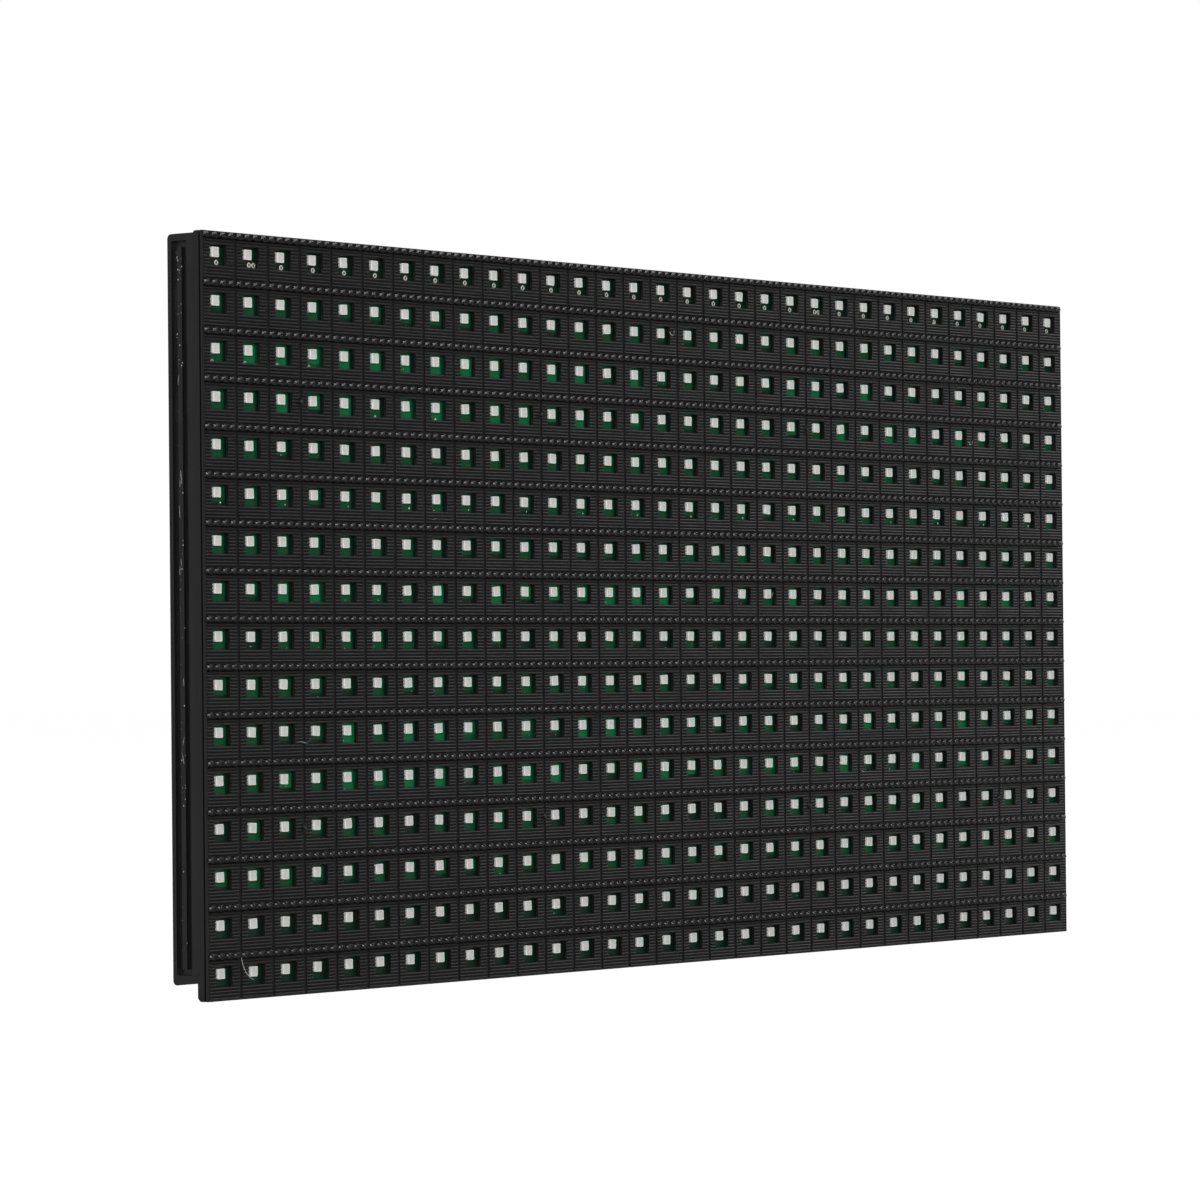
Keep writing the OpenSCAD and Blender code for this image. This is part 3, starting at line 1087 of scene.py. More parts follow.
    def _rim(self, body: Shape) -> None:
        """Sweeps the rim's section round the panel: edge, line groove, wall, bevel and inside.

        Args:
            body: Shape to add to.
        """
        grid = self.grid
        deep = grid.board_rear - grid.face
        section = [
            (self.gap_w / 2, self.gap_depth),
            *self.edge,
            (0.0, self.line_at),
            (self.line_d, self.line_at),
            (self.line_d, self.line_at + self.line_w),
            (0.0, self.line_at + self.line_w),
            (0.0, deep - self.rim_bevel),
            (self.rim_bevel, deep),
            (self.rim_t, deep),
            (self.rim_t, self.face_t),
        ]
        bevelled = (self.rim_bevel, deep)
        points = []
        for inset, depth in section:
            side = 0.0 if (inset, depth) == bevelled else inset
            w, h = grid.width / 2 - side, grid.height / 2 - inset
            points += [(x, grid.face + depth, z) for x, z in ((-w, -h), (w, -h), (w, h), (-w, h))]
        body.add(points, bands(len(section), 4))

    def _bosses(self, body: Shape) -> None:
        """Adds the screw bosses that reach through the board.

        Args:
            body: Shape to add to.
        """
        deep = self.grid.board_rear + self.boss_reach
        face = self.grid.face
        profile = [(self.boss_r, face + self.face_t), (self.boss_r, deep)]
        profile += [(self.boss_bore, deep), (self.boss_bore, face + self.boss_pilot)]
        for x, z in self.grid.screws():
            body.lathe(profile, (x, z), 24)

    def _ridges(self, body: Shape) -> None:
        """Adds the plain pointed ridge that each row of teeth stands on.

        Args:
            body: Shape to add to.
        """
        grid = self.grid
        face = grid.face
        end = grid.width / 2 - self.visor_end
        low = self.visor_root / 2
        for z in self.visor_heights():
            section = [
                (self.gap_depth, -low),
                (0.0, -low),
                (-self.tooth_valley, 0.0),
                (0.0, low),
                (self.gap_depth, low),
            ]
            points = [(x, face + d, z + h) for x in (-end, end) for d, h in section]
            faces = [(k, k + 1, k + 6, k + 5) for k in range(4)]
            body.add(points, faces + [(4, 3, 2, 1, 0), (5, 6, 7, 8, 9)])

    def visor_heights(self) -> list[float]:
        """Works out where the visors' centre lines lie.

        Returns:
            Z of each visor.
        """
        drop = self.visor_drop + self.visor_root / 2
        grid = self.grid
        return [(row + 1 - grid.rows / 2) * grid.pitch - drop for row in range(grid.rows)]

    def build_teeth(self) -> bpy.types.Object:
        """Builds the pointed teeth along every visor: faceted cones on a low, flat-topped ridge.

        Returns:
            The finished piece.
        """
        half, root = self.tooth_pitch / 2, self.visor_root / 2
        steps = self.tooth_steps
        model = []
        for turn in circle(steps):
            c, s = math.cos(turn), math.sin(turn)
            reach = 1 / max(abs(c), abs(s))
            u, v = half * c * reach, root * s * reach
            model.append((u, -self.tooth_valley * (1 - abs(v) / root), v))
        base_w, base_h = self.tooth_base
        levels = [
            (base_w * half, base_h * root, self.tooth_valley),
            (self.tooth_r, self.tooth_r, self.tooth_foot),
        ]
        aims = [turn + math.radians(self.tooth_turn) for turn in circle(steps)]
        for wide, tall, height in levels:
            model += [(wide * math.cos(aim), -height, tall * math.sin(aim)) for aim in aims]
        tip = len(model)
        model.append((0.0, -self.visor_out, 0.0))
        faces = bands(1 + len(levels), steps, flip=True) + fan(tip - steps, steps, tip)
        start = -self.grid.width / 2
        face = self.grid.face
        teeth = Shape()
        count = int(self.grid.width / self.tooth_pitch) + 1
        for z in self.visor_heights():
            for k in range(count):
                x = start + self.tooth_first + k * self.tooth_pitch
                points = [(min(max(x + u, start), -start), face + y, z + v) for u, y, v in model]
                teeth.add(points, faces)
        return teeth.piece("mask_teeth", [TOOTH_BLACK], "mask_plastic", ["mask"])

    def build_scars(self) -> bpy.types.Object:
        """Builds the small torn scar that each moulding gate left on the face.

        Returns:
            The finished piece.
        """
        rng = random.Random(self.scar_seed)
        scars = Shape()
        y = self.grid.face
        steps = self.scar_steps
        for x, z in self.grid.screws():
            cx, cz = x + rng.uniform(-0.3, 0.3), z + rng.uniform(-0.3, 0.3)
            points = []
            for reach, height in self.scar_rings:
                for turn in circle(steps):
                    far = reach * rng.uniform(0.75, 1.25)
                    points.append((cx + far * math.cos(turn), y + height, cz + far * math.sin(turn)))
            # The crater ring round each scar takes the finish painted darker as shade
            scars.add(points[: 2 * steps], bands(2, steps, flip=True), 1)
            nub = points[steps:] + [(cx, y + self.scar_tip, cz)]
            tip = len(nub) - 1
            faces = bands(tip // steps, steps, flip=True) + fan(tip - steps, steps, tip)
            scars.add(nub, faces)
        return scars.piece("gate_scars", [GATE_SCAR, RECESS_PAINTED_SHADE], "mask_plastic", ["mask"])


# ---------------------------------------------------------------- lamps


@dataclass
class Lamps:
    """The square lamps: white cups filled with resin, each soldered a little askew."""

    grid: Grid
    side: float = 2.14
    height: float = 0.95
    corner: float = 0.18
    bevel: float = 0.05
    wall: float = 0.2
    corner_steps: int = 3
    turn_deg: float = 3.0
    shift: float = 0.06
    offset: float = -0.28
    stretch: float = 1.0015
    seed: int = 11

    def build(self) -> bpy.types.Object:
        """Builds one lamp with rounded upright edges behind every window.

        Returns:
            The finished piece.
        """
        rng = random.Random(self.seed)
        steps = self.corner_steps
        inner = self.side / 2 - self.corner
        ring = []
        for quarter, (sx, sz) in enumerate(((1, 1), (-1, 1), (-1, -1), (1, -1))):
            for k in range(steps + 1):
                turn = math.tau / 4 * (quarter + k / steps)
                u, v = self.corner * math.cos(turn), self.corner * math.sin(turn)
                ring.append((sx * inner + u, sz * inner + v))
        rear = self.grid.board_front
        front = rear - self.height
        count = len(ring)
        shrink = 1 - self.bevel / self.side * 2
        lens = 1 - self.wall / self.side * 2
        levels = ((rear, 1.0), (front + self.bevel, 1.0), (front, shrink), (front, lens))
        blocks = Shape()
        for col, row in self.grid.cells():
            x, z = self.grid.centre(col, row)
            x = x * self.stretch + self.offset + rng.uniform(-self.shift, self.shift)
            z += self.grid.lamp_up + rng.uniform(-self.shift, self.shift)
            turn = math.radians(rng.gauss(0, self.turn_deg / 2))
            c, s = math.cos(turn), math.sin(turn)
            points = []
            for y, grow in levels:
                points += [(x + grow * (c * u - s * v), y, z + grow * (s * u + c * v)) for u, v in ring]
            blocks.add(points, bands(len(levels), count))
            blocks.add(points[-count:], [tuple(range(count))], 1)
        return blocks.piece("lamp_blocks", [LAMP_HOUSING, LAMP_RESIN], "lamp", ["lamps"])


# ---------------------------------------------------------------- circuit board


class Copper(Enum):
    """How much copper lies under the lacquer behind a row of windows."""

    BARE = 0.12
    THIN = 0.36
    TRACKS = 0.6
    BROAD = 0.8


@dataclass
class BoardFront:
    """What shows of the board through the windows: lacquer over copper, rings and solder, with painted
    shade as a darker green at each window's right and as near-black discs in the holes.
    """

    grid: Grid
    bare_rows: tuple[int, ...] = (0, 1, 15)
    thin_rows: tuple[int, ...] = (3, 7)
    broad_rows: tuple[int, ...] = (4, 5, 8, 12, 13)
    lift: float = 0.012
    # Plated rings and beads of solder
    ring_x: float = 0.65
    ring_z: float = -1.46
    ring_r: float = 0.6
    ring_h: float = 0.09
    ring_flat: float = 0.06
    ring_steps: int = 18
    hole_r: float = 0.24
    hole_h: float = 0.02
    bead_flat: float = 0.55
    bead_h: float = 0.4
    # Where more rings and beads lie
    second_cols: tuple[int, ...] = (1, 21)
    second_gap: float = 1.35
    test_ring: tuple[float, float] = (-0.9, -2.2)
    test_row: int = 13
    test_count: int = 4
    joint_row: int = 10
    joint_at: tuple[float, float] = (1.3, -1.5)
    foot_x: float = 1.4
    foot_count: int = 8
    large_at: tuple[float, float] = (0.3, -1.9)
    large_beads: tuple[tuple[int, int, float], ...] = ((5, 12, 0.34), (7, 12, 0.3), (26, 15, 0.5))
    # Where one green gives way to the next, and how the greens darken towards the right and in the two
    # outer columns at each end
    green_steps: tuple[float, ...] = (0.25, 0.68, 0.92)
    fade_start: float = 0.94
    fade_across: float = 0.25
    fade_edge: float = 0.2
    seed: int = 4

    def copper_of(self, row: int) -> Copper:
        """Tells how much copper a row has.

        Args:
            row: The row, counted from the bottom.

        Returns:
            Its share of copper.
        """
        if row in self.bare_rows:
            return Copper.BARE
        if row in self.thin_rows:
            return Copper.THIN
        return Copper.BROAD if row in self.broad_rows else Copper.TRACKS

    def build_pours(self) -> bpy.types.Object:
        """Lays the lacquer's four greens behind the windows, some windows split between two; a darker
        green in the strip at each window's right, beside the lamp and under the plate, is painted
        shade.

        Returns:
            The finished piece.
        """
        rng = random.Random(self.seed)
        half = self.grid.pitch / 2
        y = self.grid.board_front - self.lift
        pours = Shape()
        for col, row in self.grid.cells():
            x, z = self.grid.centre(col, row)
            share = self.copper_of(row).value
            fade = self.fade_start - self.fade_across * col / self.grid.cols
            if min(col, self.grid.cols - 1 - col) < 2:
                fade -= self.fade_edge
            level = share * fade * rng.uniform(0.72, 1.28)
            main = sum(level >= step for step in self.green_steps)
            # From here to the cell's right edge the green is darker: painted shade beside the lamp and
            # under the plate
            shade_x = x + rng.uniform(1.9, 2.6)
            cut_z = z + rng.uniform(-1.4, -0.9) if main and rng.random() < 0.3 else z - half
            # Darker green for that painted shade strip, and for the lower band where one is cut
            side = 0 if rng.random() < 0.65 else max(main - 1, 0)
            for x0, x1, z0, z1, slot in (
                (shade_x, x + half, z - half, z + half, side),
                (x - half, shade_x, z - half, cut_z, side),
                (x - half, shade_x, cut_z, z + half, main),
            ):
                if x1 - x0 > 0.01 and z1 - z0 > 0.01:
                    corners = [(x0, y, z0), (x1, y, z0), (x1, y, z1), (x0, y, z1)]
                    pours.add(corners, [(0, 1, 2, 3)], slot)
        finishes = [POUR_BARE_OR_SHADE, POUR_TRACKS, POUR_COPPER, POUR_BRIGHT]
        return pours.piece("front_lacquer", finishes, "board")

    def _ring(self, marks: Shape, x: float, z: float) -> None:
        """Adds one plated ring, with a near-black disc painted as the shade in its hole.

        Args:
            marks: Shape to add to.
            x: X of its centre.
            z: Z of its centre.
        """
        y = self.grid.board_front - self.lift
        mid, top = (self.ring_r + self.hole_r) / 2, y - self.ring_h
        mouth = (self.hole_r, y - self.hole_h)
        profile = [(self.ring_r, y), (mid + self.ring_flat, top), (mid - self.ring_flat, top), mouth]
        marks.lathe(profile, (x, z), self.ring_steps)
        # A near-black disc across the mouth paints the hole's shade
        marks.lathe([mouth, (0.01, y - 0.75 * self.hole_h)], (x, z), self.ring_steps, 1)

    def _blob(self, marks: Shape, rng: random.Random, x: float, z: float, size: float) -> None:
        """Adds one irregular bead of solder or flux.

        Args:
            marks: Shape to add to.
            rng: Seeded source of chance.
            x: X of its centre.
            z: Z of its centre.
            size: Its radius.
        """
        y = self.grid.board_front - self.lift
        steps = 8
        low, high = [], []
        for turn in circle(steps):
            reach = size * rng.uniform(0.7, 1.2)
            c, s = math.cos(turn), math.sin(turn)
            low.append((x + reach * c, y, z + reach * s))
            crown = self.bead_flat * reach
            high.append((x + crown * c, y - self.bead_h * size, z + crown * s))
        faces = bands(2, steps, flip=True) + fan(steps, steps, 2 * steps)
        marks.add(low + high + [(x, y - self.bead_flat * size, z)], faces)

    def build_marks(self) -> bpy.types.Object:
        """Builds the plated rings, pads and solder beads that show beside the lamps.

        Returns:
            The finished piece.
        """
        rng = random.Random(self.seed + 1)
        grid = self.grid
        marks = Shape()
        for col in range(grid.cols):
            x, z = grid.centre(col, grid.rows - 1)
            z += self.ring_z
            self._ring(marks, x + self.ring_x, z)
            if col in self.second_cols:
                self._ring(marks, x + self.ring_x + self.second_gap, z)
        right, up = self.test_ring
        for col in range(self.test_count):
            x, z = grid.centre(col, self.test_row)
            self._ring(marks, x + right, z + up)
        right, up = self.joint_at
        for col in range(0, grid.cols, 2):
            x, z = grid.centre(col, self.joint_row)
            self._blob(marks, rng, x + right, z + up, rng.uniform(0.12, 0.22))
        for col in range(1, 1 + self.foot_count):
            x, z = grid.centre(col, 0)
            up = rng.uniform(-0.6, 0.6)
            self._blob(marks, rng, x + self.foot_x, z + up, rng.uniform(0.1, 0.2))
        right, up = self.large_at
        for col, row, size in self.large_beads:
            x, z = grid.centre(col, row)
            self._blob(marks, rng, x + right, z + up, size)
        for col, row in grid.cells():
            if 3 < row < 9 and rng.random() < 0.45 or rng.random() < 0.08:
                x, z = grid.centre(col, row)
                x += rng.uniform(-1, 1.6)
                z += rng.uniform(-2.1, -0.9)
                self._blob(marks, rng, x, z, rng.uniform(0.05, 0.14))
        return marks.piece("front_solder", [SOLDER, HOLE_PAINTED_SHADE], "board")


@dataclass(frozen=True)
class Package:
    """Leads of one kind of chip, enough to lay its pads and print its outline."""

    node: str
    leads: int
    pitch: float
    body_half: float
    upright: bool = False


@dataclass
class BoardRear:
    """The board's rear: pads, ink outlines and plated through holes around the components."""

    grid: Grid
    packages: tuple[Package, ...] = (
        Package("driver_chips", 12, 0.635, 1.95),
        Package("row_switch_chips", 4, 1.27, 1.95),
        Package("buffer_chips", 10, 1.27, 3.75, True),
        Package("decoder_chip", 8, 1.27, 1.95, True),
    )
    small: tuple[str, ...] = ("chip_resistors", "ceramic_capacitors", "resistor_networks")
    outlined: tuple[str, ...] = ("input_header", "output_header", "power_header", "capacitor_bases")
    lift: float = 0.02
    ink: float = 0.16
    ink_gap: float = 0.5
    small_gap: float = 0.6
    dot_r: float = 0.3
    pad_long: float = 1.3
    pad_share: float = 0.6
    pad_inset: float = 0.25
    small_pad_h: float = 0.7
    small_pad_grow: float = 0.3
    ring_r: float = 0.42
    ring_flat: float = 0.36
    hole_r: float = 0.2
    hole_steps: int = 10
    hole_count: int = 420
    hole_grid: float = 1.27
    seed: int = 23

    def _pad(self, pads: Shape, x: float, z: float, w: float, h: float) -> None:
        """Adds one low solder pad.

        Args:
            pads: Shape to add to.
            x: X of its centre.
            z: Z of its centre.
            w: Width.
            h: Height.
        """
        y = self.grid.board_rear
        pads.box((x - w / 2, y - 0.01, z - h / 2), (x + w / 2, y + self.lift * 2, z + h / 2))

    def _outline(self, ink: Shape, low: Vector, high: Vector, gap: float) -> None:
        """Prints a thin rectangle round a component, with a dot at its first corner.

        Args:
            ink: Shape to add to.
            low: Lowest corner of the component.
            high: Highest corner.
            gap: Space between the component and the line.
        """
        y = self.grid.board_rear + self.lift
        x0, x1, z0, z1 = low.x - gap, high.x + gap, low.z - gap, high.z + gap
        for a, b, c, d in (
            (x0, x1, z0, z0 + self.ink),
            (x0, x1, z1 - self.ink, z1),
            (x0, x0 + self.ink, z0, z1),
            (x1 - self.ink, x1, z0, z1),
        ):
            ink.add([(a, y, c), (a, y, d), (b, y, d), (b, y, c)], [(0, 1, 2, 3)])
        dot = (x0 - self.ink_gap - 0.05, z1 - self.dot_r)
        ink.lathe([(0.01, y), (self.dot_r, y)], dot, self.hole_steps)

    def dress(self) -> None:
        """Gives the board its lacquer."""
        dress("circuit_board", BOARD_GREEN)

    def build(self) -> None:
        """Builds the pads, the ink and the plated holes."""
        pads, ink, holes = Shape(), Shape(), Shape()
        taken: list[tuple[Vector, Vector]] = []
        for package in self.packages:
            for low, high in loose_parts(package.node):
                self._chip_pads(pads, package, low, high)
                self._outline(ink, low, high, self.ink_gap)
                taken.append((low, high))
        for node in self.small:
            for low, high in loose_parts(node):
                x, w = (low.x + high.x) / 2, high.x - low.x
                for z in (low.z, high.z):
                    self._pad(pads, x, z, w + self.small_pad_grow, self.small_pad_h)
                self._outline(ink, low, high, self.small_gap)
                taken.append((low, high))
        for node in self.outlined:
            for low, high in loose_parts(node):
                self._outline(ink, low, high, self.ink_gap)
                taken.append((low, high))
        rng = random.Random(self.seed)
        reach_x, reach_z = self.grid.width / 2 - 8, self.grid.height / 2 - 10
        y = self.grid.board_rear
        mouth = (self.hole_r, y + self.lift * 1.5)
        ring = [(self.ring_r, y + self.lift / 2), (self.ring_flat, y + self.lift * 2), mouth]
        for _ in range(self.hole_count):
            x = round(rng.uniform(-reach_x, reach_x) / self.hole_grid) * self.hole_grid
            z = round(rng.uniform(-reach_z, reach_z) / self.hole_grid) * self.hole_grid
            if any(a.x - 1 < x < b.x + 1 and a.z - 1 < z < b.z + 1 for a, b in taken):
                continue
            holes.lathe(ring, (x, z), self.hole_steps)
            # A near-black disc across the mouth paints the hole's shade
            holes.lathe([mouth, (0.01, y + self.lift)], (x, z), self.hole_steps, 1)
        pads.piece("rear_pads", [SOLDER], "board")
        ink.piece("rear_ink", [SILK_INK], "board")
        holes.piece("rear_plated_holes", [SOLDER, HOLE_PAINTED_SHADE], "board")

    def _chip_pads(self, pads: Shape, package: Package, low: Vector, high: Vector) -> None:
        """Lays a pad under every lead of one chip.

        Args:
            pads: Shape to add to.
            package: The chip's kind.
            low: Lowest corner of the chip.
            high: Highest corner.
        """
        cx, cz = (low.x + high.x) / 2, (low.z + high.z) / 2
        wide, long = package.pitch * self.pad_share, self.pad_long
        for k in range(package.leads):
            along = (k - (package.leads - 1) / 2) * package.pitch
            for side in (-1, 1):
                inset = side * self.pad_inset
                if package.upright:
                    x = (low.x if side < 0 else high.x) - inset
                    self._pad(pads, x, cz + along, long, wide)
                else:
                    z = (low.z if side < 0 else high.z) - inset
                    self._pad(pads, cx + along, z, wide, long)


# ---------------------------------------------------------------- components


@dataclass
class Chips:
    """Finishes of the chips and of the small passives: bodies and metal ends."""

    packages: tuple[Package, ...]
    body_share: float = 0.3

    def dress_chips(self) -> None:
        """Gives every chip an epoxy body and tinned leads."""
        for package in self.packages:
            axis = 0 if package.upright else 2
            lanes = sorted({round((a[axis] + b[axis]) / 2, 2) for a, b in loose_parts(package.node)})
            self._split(package.node, axis, lanes, package.body_half, CHIP_EPOXY, TINNED_LEAD)

    def dress_passives(self) -> None:
        """Gives every chip resistor and capacitor a body and tinned ends."""
        for node, finish in (
            ("chip_resistors", RESISTOR_GLAZE),
            ("resistor_networks", RESISTOR_GLAZE),
            ("ceramic_capacitors", CERAMIC_TAN),
        ):
            parts = loose_parts(node)
            lanes = sorted({round((a[2] + b[2]) / 2, 2) for a, b in parts})
            half = (parts[0][1][2] - parts[0][0][2]) * self.body_share
            self._split(node, 2, lanes, half, finish, TINNED_LEAD)

    def _split(
        self,
        node: str,
        axis: int,
        lanes: Sequence[float],
        half: float,
        inner: Finish,
        outer: Finish,
    ) -> None:
        """Gives a node one finish near its parts' centre lines and another beyond them.

        Args:
            node: Name of the CAD node.
            axis: Number of the axis across the parts.
            lanes: Where the parts' centre lines lie on that axis.
            half: Reach of the inner finish from a centre line.
            inner: Finish of the bodies.
            outer: Finish of the leads or ends.
        """
        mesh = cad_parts[node].data
        mesh.materials.clear()
        mesh.materials.append(inner.material())
        mesh.materials.append(outer.material())
        for polygon in mesh.polygons:
            spot = polygon.center[axis] / MM
            off = min(abs(spot - lane) for lane in lanes)
            polygon.material_index = int(off > half - 0.01)
        LOG.info("%s: %s and %s", node, inner.name, outer.name)


@dataclass
class Capacitors:
    """The electrolytic capacitors: drawn cans on moulded bases, with the minus side marked."""

    # Half moon on the can's top
    mark_inset: float = 0.75
    mark_deg: float = 124.0
    mark_steps: int = 14

    def dress(self) -> None:
        """Gives the cans and their bases their finishes."""
        dress("capacitor_cans", CAN_ALUMINIUM)
        dress("capacitor_bases", BASE_BLACK)

    def build_marks(self) -> bpy.types.Object:
        """Prints the dark half moon on top of every can.

        Returns:
            The finished piece.
        """
        marks = Shape()
        for low, high in loose_parts("capacitor_cans"):
            cx, cz = (low.x + high.x) / 2, (low.z + high.z) / 2
            r = (high.x - low.x) / 2 - self.mark_inset
            start = (360 - self.mark_deg) / 2
            y = high.y + 0.01
            points = []
            for k in range(self.mark_steps + 1):
                turn = math.radians(start + self.mark_deg * k / self.mark_steps)
                points.append((cx + r * math.cos(turn), y, cz + r * math.sin(turn)))
            marks.add(points, [tuple(range(len(points)))])
        return marks.piece("can_marks", [CAN_INK], "can_aluminium")


@dataclass
class Headers:
    """The data and power headers: moulded boxes with plated pins."""

    data: tuple[str, ...] = ("input_header", "output_header")

    def dress(self) -> None:
        """Gives the boxes and their pins their finishes."""
        for node in self.data:
            dress(node, HEADER_BLACK)
            dress(f"{node}_pins", PIN_GOLD)
        dress("power_header", NYLON_WHITE)
        dress("power_header_pins", PIN_TIN)


# ---------------------------------------------------------------- rear shell


@dataclass
class RearShell:
    """The moulded rear shell with its brass inserts and the screws that hold the mask."""

    insert_bore: float = 1.25
    insert_chamfer: float = 0.3
    insert_steps: int = 32
    thread_pitch: float = 0.5
    thread_depth: float = 0.22

    def dress(self) -> None:
        """Gives the shell and the screws their finishes."""
        dress("back_shell", SHELL_BLACK)
        dress("mask_screws", SCREW_ZINC)

    def build_inserts(self) -> bpy.types.Object:
        """Turns the brass inserts with a chamfered mouth and thread rings down the bore.

        Returns:
            The finished piece.
        """
        inserts = Shape()
        for low, high in loose_parts("threaded_inserts"):
            cx, cz = (low.x + high.x) / 2, (low.z + high.z) / 2
            outer, bore, chamfer = (high.x - low.x) / 2, self.insert_bore, self.insert_chamfer
            profile = [(outer, low.y), (outer, high.y - 0.1), (outer - 0.1, high.y)]
            profile += [(bore + chamfer, high.y), (bore, high.y - chamfer)]
            y = high.y - chamfer
            while y - self.thread_pitch > low.y:
                profile.append((bore + self.thread_depth, y - self.thread_pitch / 2))
                y -= self.thread_pitch
                profile.append((bore, y))
            profile.append((bore, low.y))
            inserts.lathe(profile, (cx, cz), self.insert_steps)
        return inserts.piece("brass_inserts", [INSERT_BRASS], "brass", ["threaded_inserts"])


# ---------------------------------------------------------------- dust


@dataclass
class Dust:
    """The few fibres and specks that lie on the face and in the side grooves."""

    grid: Grid
    thick: float = 0.07
    speck_count: int = 70
    speck_top: float = 76.0
    speck_span: float = 150.0
    speck_depths: tuple[float, ...] = (-5.9, -5.2, -5.0, -4.7)
    speck_sizes: tuple[float, ...] = (0.05, 0.07, 0.1, 0.17)
    streak_count: int = 9
    off_face: float = 0.06
    long_fibres: tuple[tuple[tuple[float, float, float], ...], ...] = (
        ((-134, 0, -28), (-131.5, -0.3, -26.6), (-129.5, -0.2, -26.9), (-128, 0, -25.9)),
        ((-150, 0, -71), (-149.2, -0.3, -74), (-147.5, -0.3, -75.6), (-146, 0, -76)),
    )
    short_fibres: tuple[tuple[float, float], ...] = (
        (-3.0, 66.0),
        (34.0, 5.5),
        (71.0, -37.0),
        (-88.0, 21.0),
        (118.0, 44.0),
    )
    seed: int = 31

    def _fibre(self, lint: Shape, path: Sequence[tuple[float, float, float]]) -> None:
        """Adds one thin three-sided fibre along a smooth curve.

        Args:
            lint: Shape to add to.
            path: Points that the curve passes.
        """
        marks = np.linspace(0, 1, len(path))
        fine = np.linspace(0, 1, 6 * len(path))
        order = min(3, len(path) - 1)
        curve = np.stack(
            [np.polyval(np.polyfit(marks, [p[k] for p in path], order), fine) for k in range(3)], 1
        )
        reach = self.thick * 0.7
        points = []
        for x, y, z in curve:
            for turn in (0.5, 2.6, 4.7):
                right, out, up = math.cos(turn), math.sin(turn), math.cos(turn + 1.0)
                points.append((x + reach * right, y + reach * out, z + reach * up))
        lint.add(points, bands(len(curve), 3))

    def build(self) -> bpy.types.Object:
        """Lays the fibres and specks.

        Returns:
            The finished piece.
        """
        rng = random.Random(self.seed)
        y = self.grid.face - self.off_face
        lint = Shape()
        for fibre in self.long_fibres:
            self._fibre(lint, [(x, y + out, z) for x, out, z in fibre])
        for x, z in self.short_fibres:
            bend = rng.uniform(-0.8, 0.8)
            path = [(x, y, z), (x + 1.0, y - 0.2, z + bend), (x + 1.8, y, z + 0.4)]
            self._fibre(lint, path)
        flush = -self.grid.width / 2 + 0.002
        for _ in range(self.speck_count):
            z = self.speck_top - self.speck_span * rng.random() ** 1.6
            deep = rng.choice(self.speck_depths)
            size = rng.choice(self.speck_sizes)
            self._flake(lint, rng, (flush, deep + rng.uniform(-0.3, 0.3), z), size, size)
        for _ in range(self.streak_count):
            z = rng.uniform(-40, 74)
            spot = (flush, rng.uniform(-5.9, -4.8), z)
            self._flake(lint, rng, spot, rng.uniform(0.04, 0.07), rng.uniform(0.6, 1.8))
        return lint.piece("lint", [LINT], "shell_plastic")

    def _flake(
        self, lint: Shape, rng: random.Random, spot: Sequence[float], wide: float, tall: float
    ) -> None:
        """Adds one flat flake of dust on the side wall.

        Args:
            lint: Shape to add to.
            rng: Seeded source of chance.
            spot: Its centre.
            wide: Its reach along Y.
            tall: Its reach along Z.
        """
        x, y, z = spot
        lean = rng.uniform(-0.25, 0.25) * tall
        points = []
        for turn in circle(6):
            up = tall * math.sin(turn) * rng.uniform(0.7, 1.1)
            points.append((x, y + wide * math.cos(turn) + lean * math.sin(turn), z + up))
        lint.add(points, [tuple(range(len(points)))])


# ---------------------------------------------------------------- camera, light and floor


@dataclass(frozen=True)
class SoftBox:
    """One soft box aimed at the object, with lengths in metres and power in watts."""

    name: str
    at: tuple[float, float, float]
    size: tuple[float, float]
    power: float


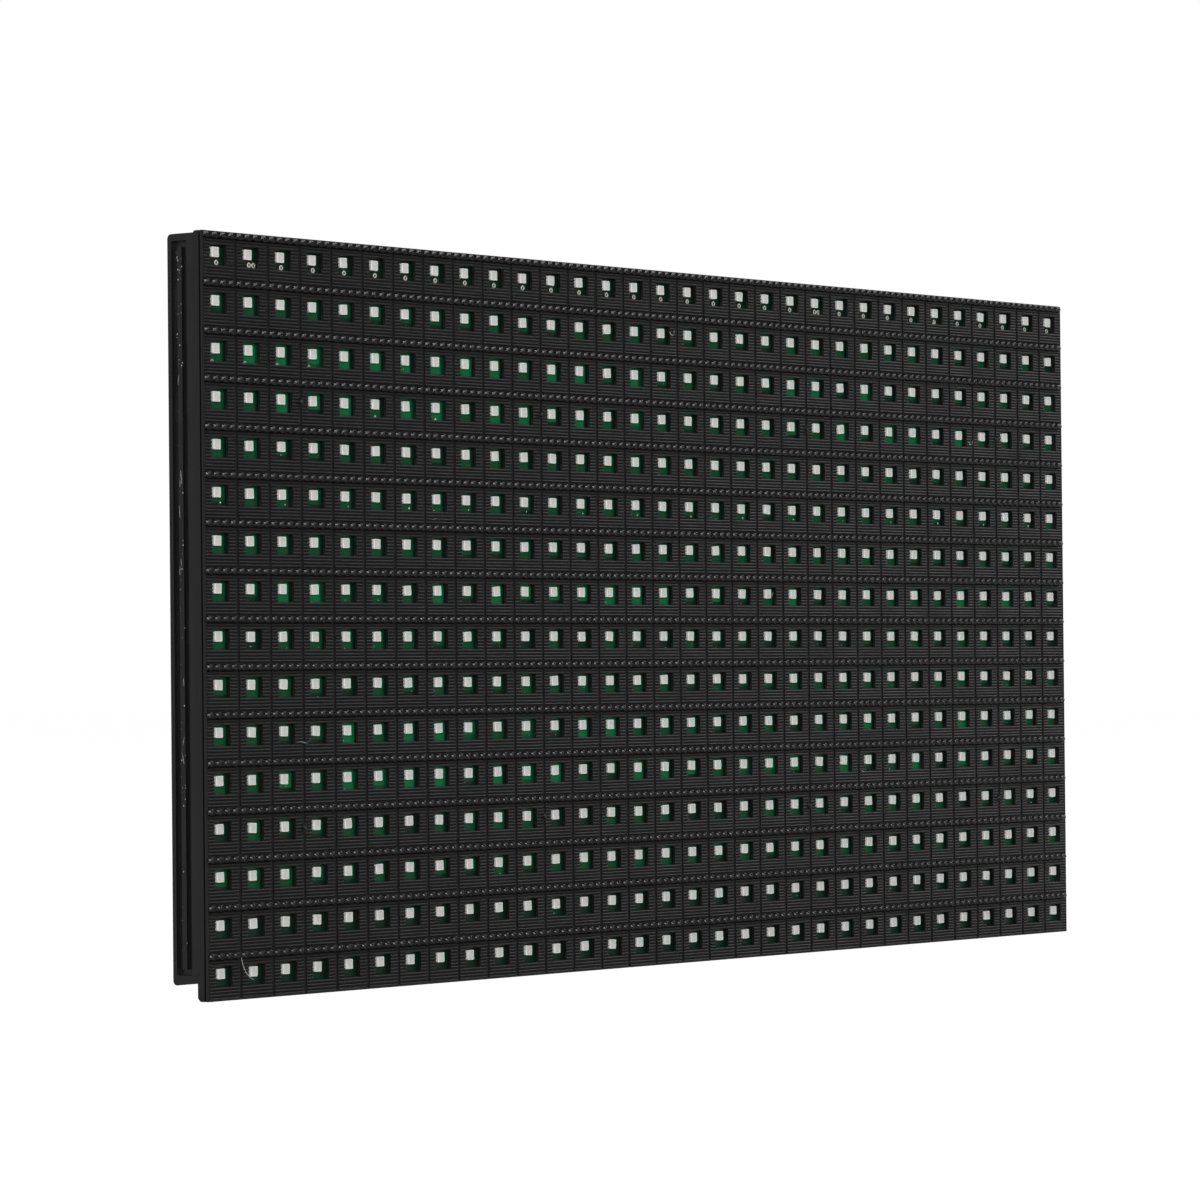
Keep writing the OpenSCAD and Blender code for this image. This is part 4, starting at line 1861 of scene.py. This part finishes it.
@dataclass(frozen=True)
class Studio:
    """Camera, soft lights and a plain pale floor."""

    # Seen from the left front, 1.2 m away, through a long lens
    camera_at: tuple[float, float, float] = (-927.642, -733.534, -12.104)
    turn_deg: float = 51.222
    tilt_deg: float = -0.794
    roll_deg: float = 0.539
    lens: float = 152.226
    # Floor at the module's foot, in a grey that the glow lifts to the backdrop's white
    floor_z: float = -80.0
    floor_reach: float = 6.0
    floor_grey: str = "#bcbcbc"
    floor_lift: float = 0.9
    floor_glow: float = 1.1
    # Level of the light from all round
    around: float = 0.09
    boxes: tuple[SoftBox, ...] = (
        SoftBox("key", (-1.95, -1.9, 0.5), (1.1, 1.1), 43.0),
        SoftBox("front", (-0.4, -1.8, 0.55), (1.3, 1.1), 2.6),
        SoftBox("overhead", (0.2, -0.9, 2.2), (0.7, 0.7), 20.0),
        SoftBox("right", (1.75, -0.3, 0.95), (1.3, 0.7), 7.0),
        SoftBox("rear_left", (-1.5, 1.5, 0.35), (1.6, 1.4), 3.0),
        SoftBox("rear", (0.9, 1.7, 1.2), (1.2, 1.2), 30.0),
    )

    def camera(self) -> None:
        """Makes the camera, with its place in millimetres and its bearing as three turns."""
        data = bpy.data.cameras.new("camera")
        data.lens = self.lens
        data.sensor_width = 36.0
        data.clip_start, data.clip_end = 0.05, 20.0
        made = place_object("camera", data)
        look = (
            Matrix.Rotation(math.radians(self.roll_deg), 3, "Z")
            @ Matrix.Rotation(math.radians(self.tilt_deg), 3, "X")
            @ Matrix.Rotation(math.radians(self.turn_deg), 3, "Y")
        )
        to_frame = Matrix(((1, 0, 0), (0, 0, -1), (0, 1, 0)))
        axes = to_frame @ look.transposed()
        made.matrix_world = Matrix.Translation(Vector(self.camera_at) * MM) @ axes.to_4x4()
        bpy.context.scene.camera = made

    def light(self, box: SoftBox) -> None:
        """Adds one soft box.

        Args:
            box: Its place, size and power.
        """
        data = bpy.data.lights.new(box.name, "AREA")
        data.shape = "RECTANGLE"
        data.size, data.size_y = box.size
        data.energy = box.power
        made = place_object(box.name, data)
        made.location = box.at
        made.rotation_euler = (-Vector(box.at)).to_track_quat("-Z", "Y").to_euler()

    def world(self) -> None:
        """Lights evenly from all round and shows white behind the object."""
        made = bpy.data.worlds.new("studio")
        made.use_nodes = True
        tree = made.node_tree
        tree.nodes.clear()
        path = add_node(tree, "ShaderNodeLightPath")
        seen = add_node(
            tree,
            "ShaderNodeMath",
            {"operation": "MAXIMUM"},
            {0: path.outputs["Is Camera Ray"], 1: path.outputs["Is Transmission Ray"]},
        )
        level = add_node(
            tree,
            "ShaderNodeMapRange",
            {},
            {"Value": seen.outputs["Value"], "To Min": self.around, "To Max": 1.0},
        )
        back = add_node(
            tree,
            "ShaderNodeBackground",
            {},
            {"Color": linear("#ffffff"), "Strength": level.outputs["Result"]},
        )
        add_node(tree, "ShaderNodeOutputWorld", {}, {"Surface": back.outputs["Background"]})
        bpy.context.scene.world = made

    def floor(self) -> bpy.types.Object:
        """Lays the pale floor, which keeps a faint shadow.

        Returns:
            The floor.
        """
        reach = self.floor_reach
        z = self.floor_z * MM
        mesh = bpy.data.meshes.new("floor")
        corners = [(-reach, -reach, z), (reach, -reach, z), (reach, reach, z), (-reach, reach, z)]
        mesh.from_pydata(corners, [], [(0, 1, 2, 3)])
        made = place_object("floor", mesh)
        paint = bpy.data.materials.new("Paper_sweep_matt")
        paint.use_nodes = True
        tree = paint.node_tree
        tree.nodes.clear()
        path = add_node(tree, "ShaderNodeLightPath")
        lift = add_node(
            tree,
            "ShaderNodeMath",
            {"operation": "MULTIPLY"},
            {0: path.outputs["Is Camera Ray"], 1: self.floor_lift},
        )
        lit = add_node(tree, "ShaderNodeBsdfDiffuse", {}, {"Color": linear(self.floor_grey)})
        glow = add_node(tree, "ShaderNodeEmission", {}, {"Strength": self.floor_glow})
        mixed = add_node(
            tree,
            "ShaderNodeMixShader",
            {},
            {0: lift.outputs["Value"], 1: lit.outputs["BSDF"], 2: glow.outputs["Emission"]},
        )
        add_node(tree, "ShaderNodeOutputMaterial", {}, {"Surface": mixed.outputs["Shader"]})
        mesh.materials.append(paint)
        return made

    def build(self) -> None:
        """Sets up the whole studio."""
        self.camera()
        self.world()
        self.floor()
        for box in self.boxes:
            self.light(box)
        bpy.context.scene.view_settings.view_transform = "Standard"


# ---------------------------------------------------------------- the whole


def write_sizes() -> None:
    """Updates the scene's view layer."""
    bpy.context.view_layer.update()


def main() -> None:
    """Builds the pieces in order and reports each."""
    logging.basicConfig(level=logging.INFO, format="%(name)s: %(message)s")
    grid = Grid.from_frame()
    Studio().build()
    mask = Mask(grid)
    mask.build_face()
    mask.build_body()
    mask.build_teeth()
    mask.build_scars()
    Lamps(grid).build()
    front = BoardFront(grid)
    front.build_pours()
    front.build_marks()
    rear = BoardRear(grid)
    rear.dress()
    rear.build()
    chips = Chips(rear.packages)
    chips.dress_chips()
    chips.dress_passives()
    cans = Capacitors()
    cans.dress()
    cans.build_marks()
    Headers().dress()
    shell = RearShell()
    shell.dress()
    shell.build_inserts()
    Dust(grid).build()
    write_sizes()


if __name__ == "__main__":
    main()
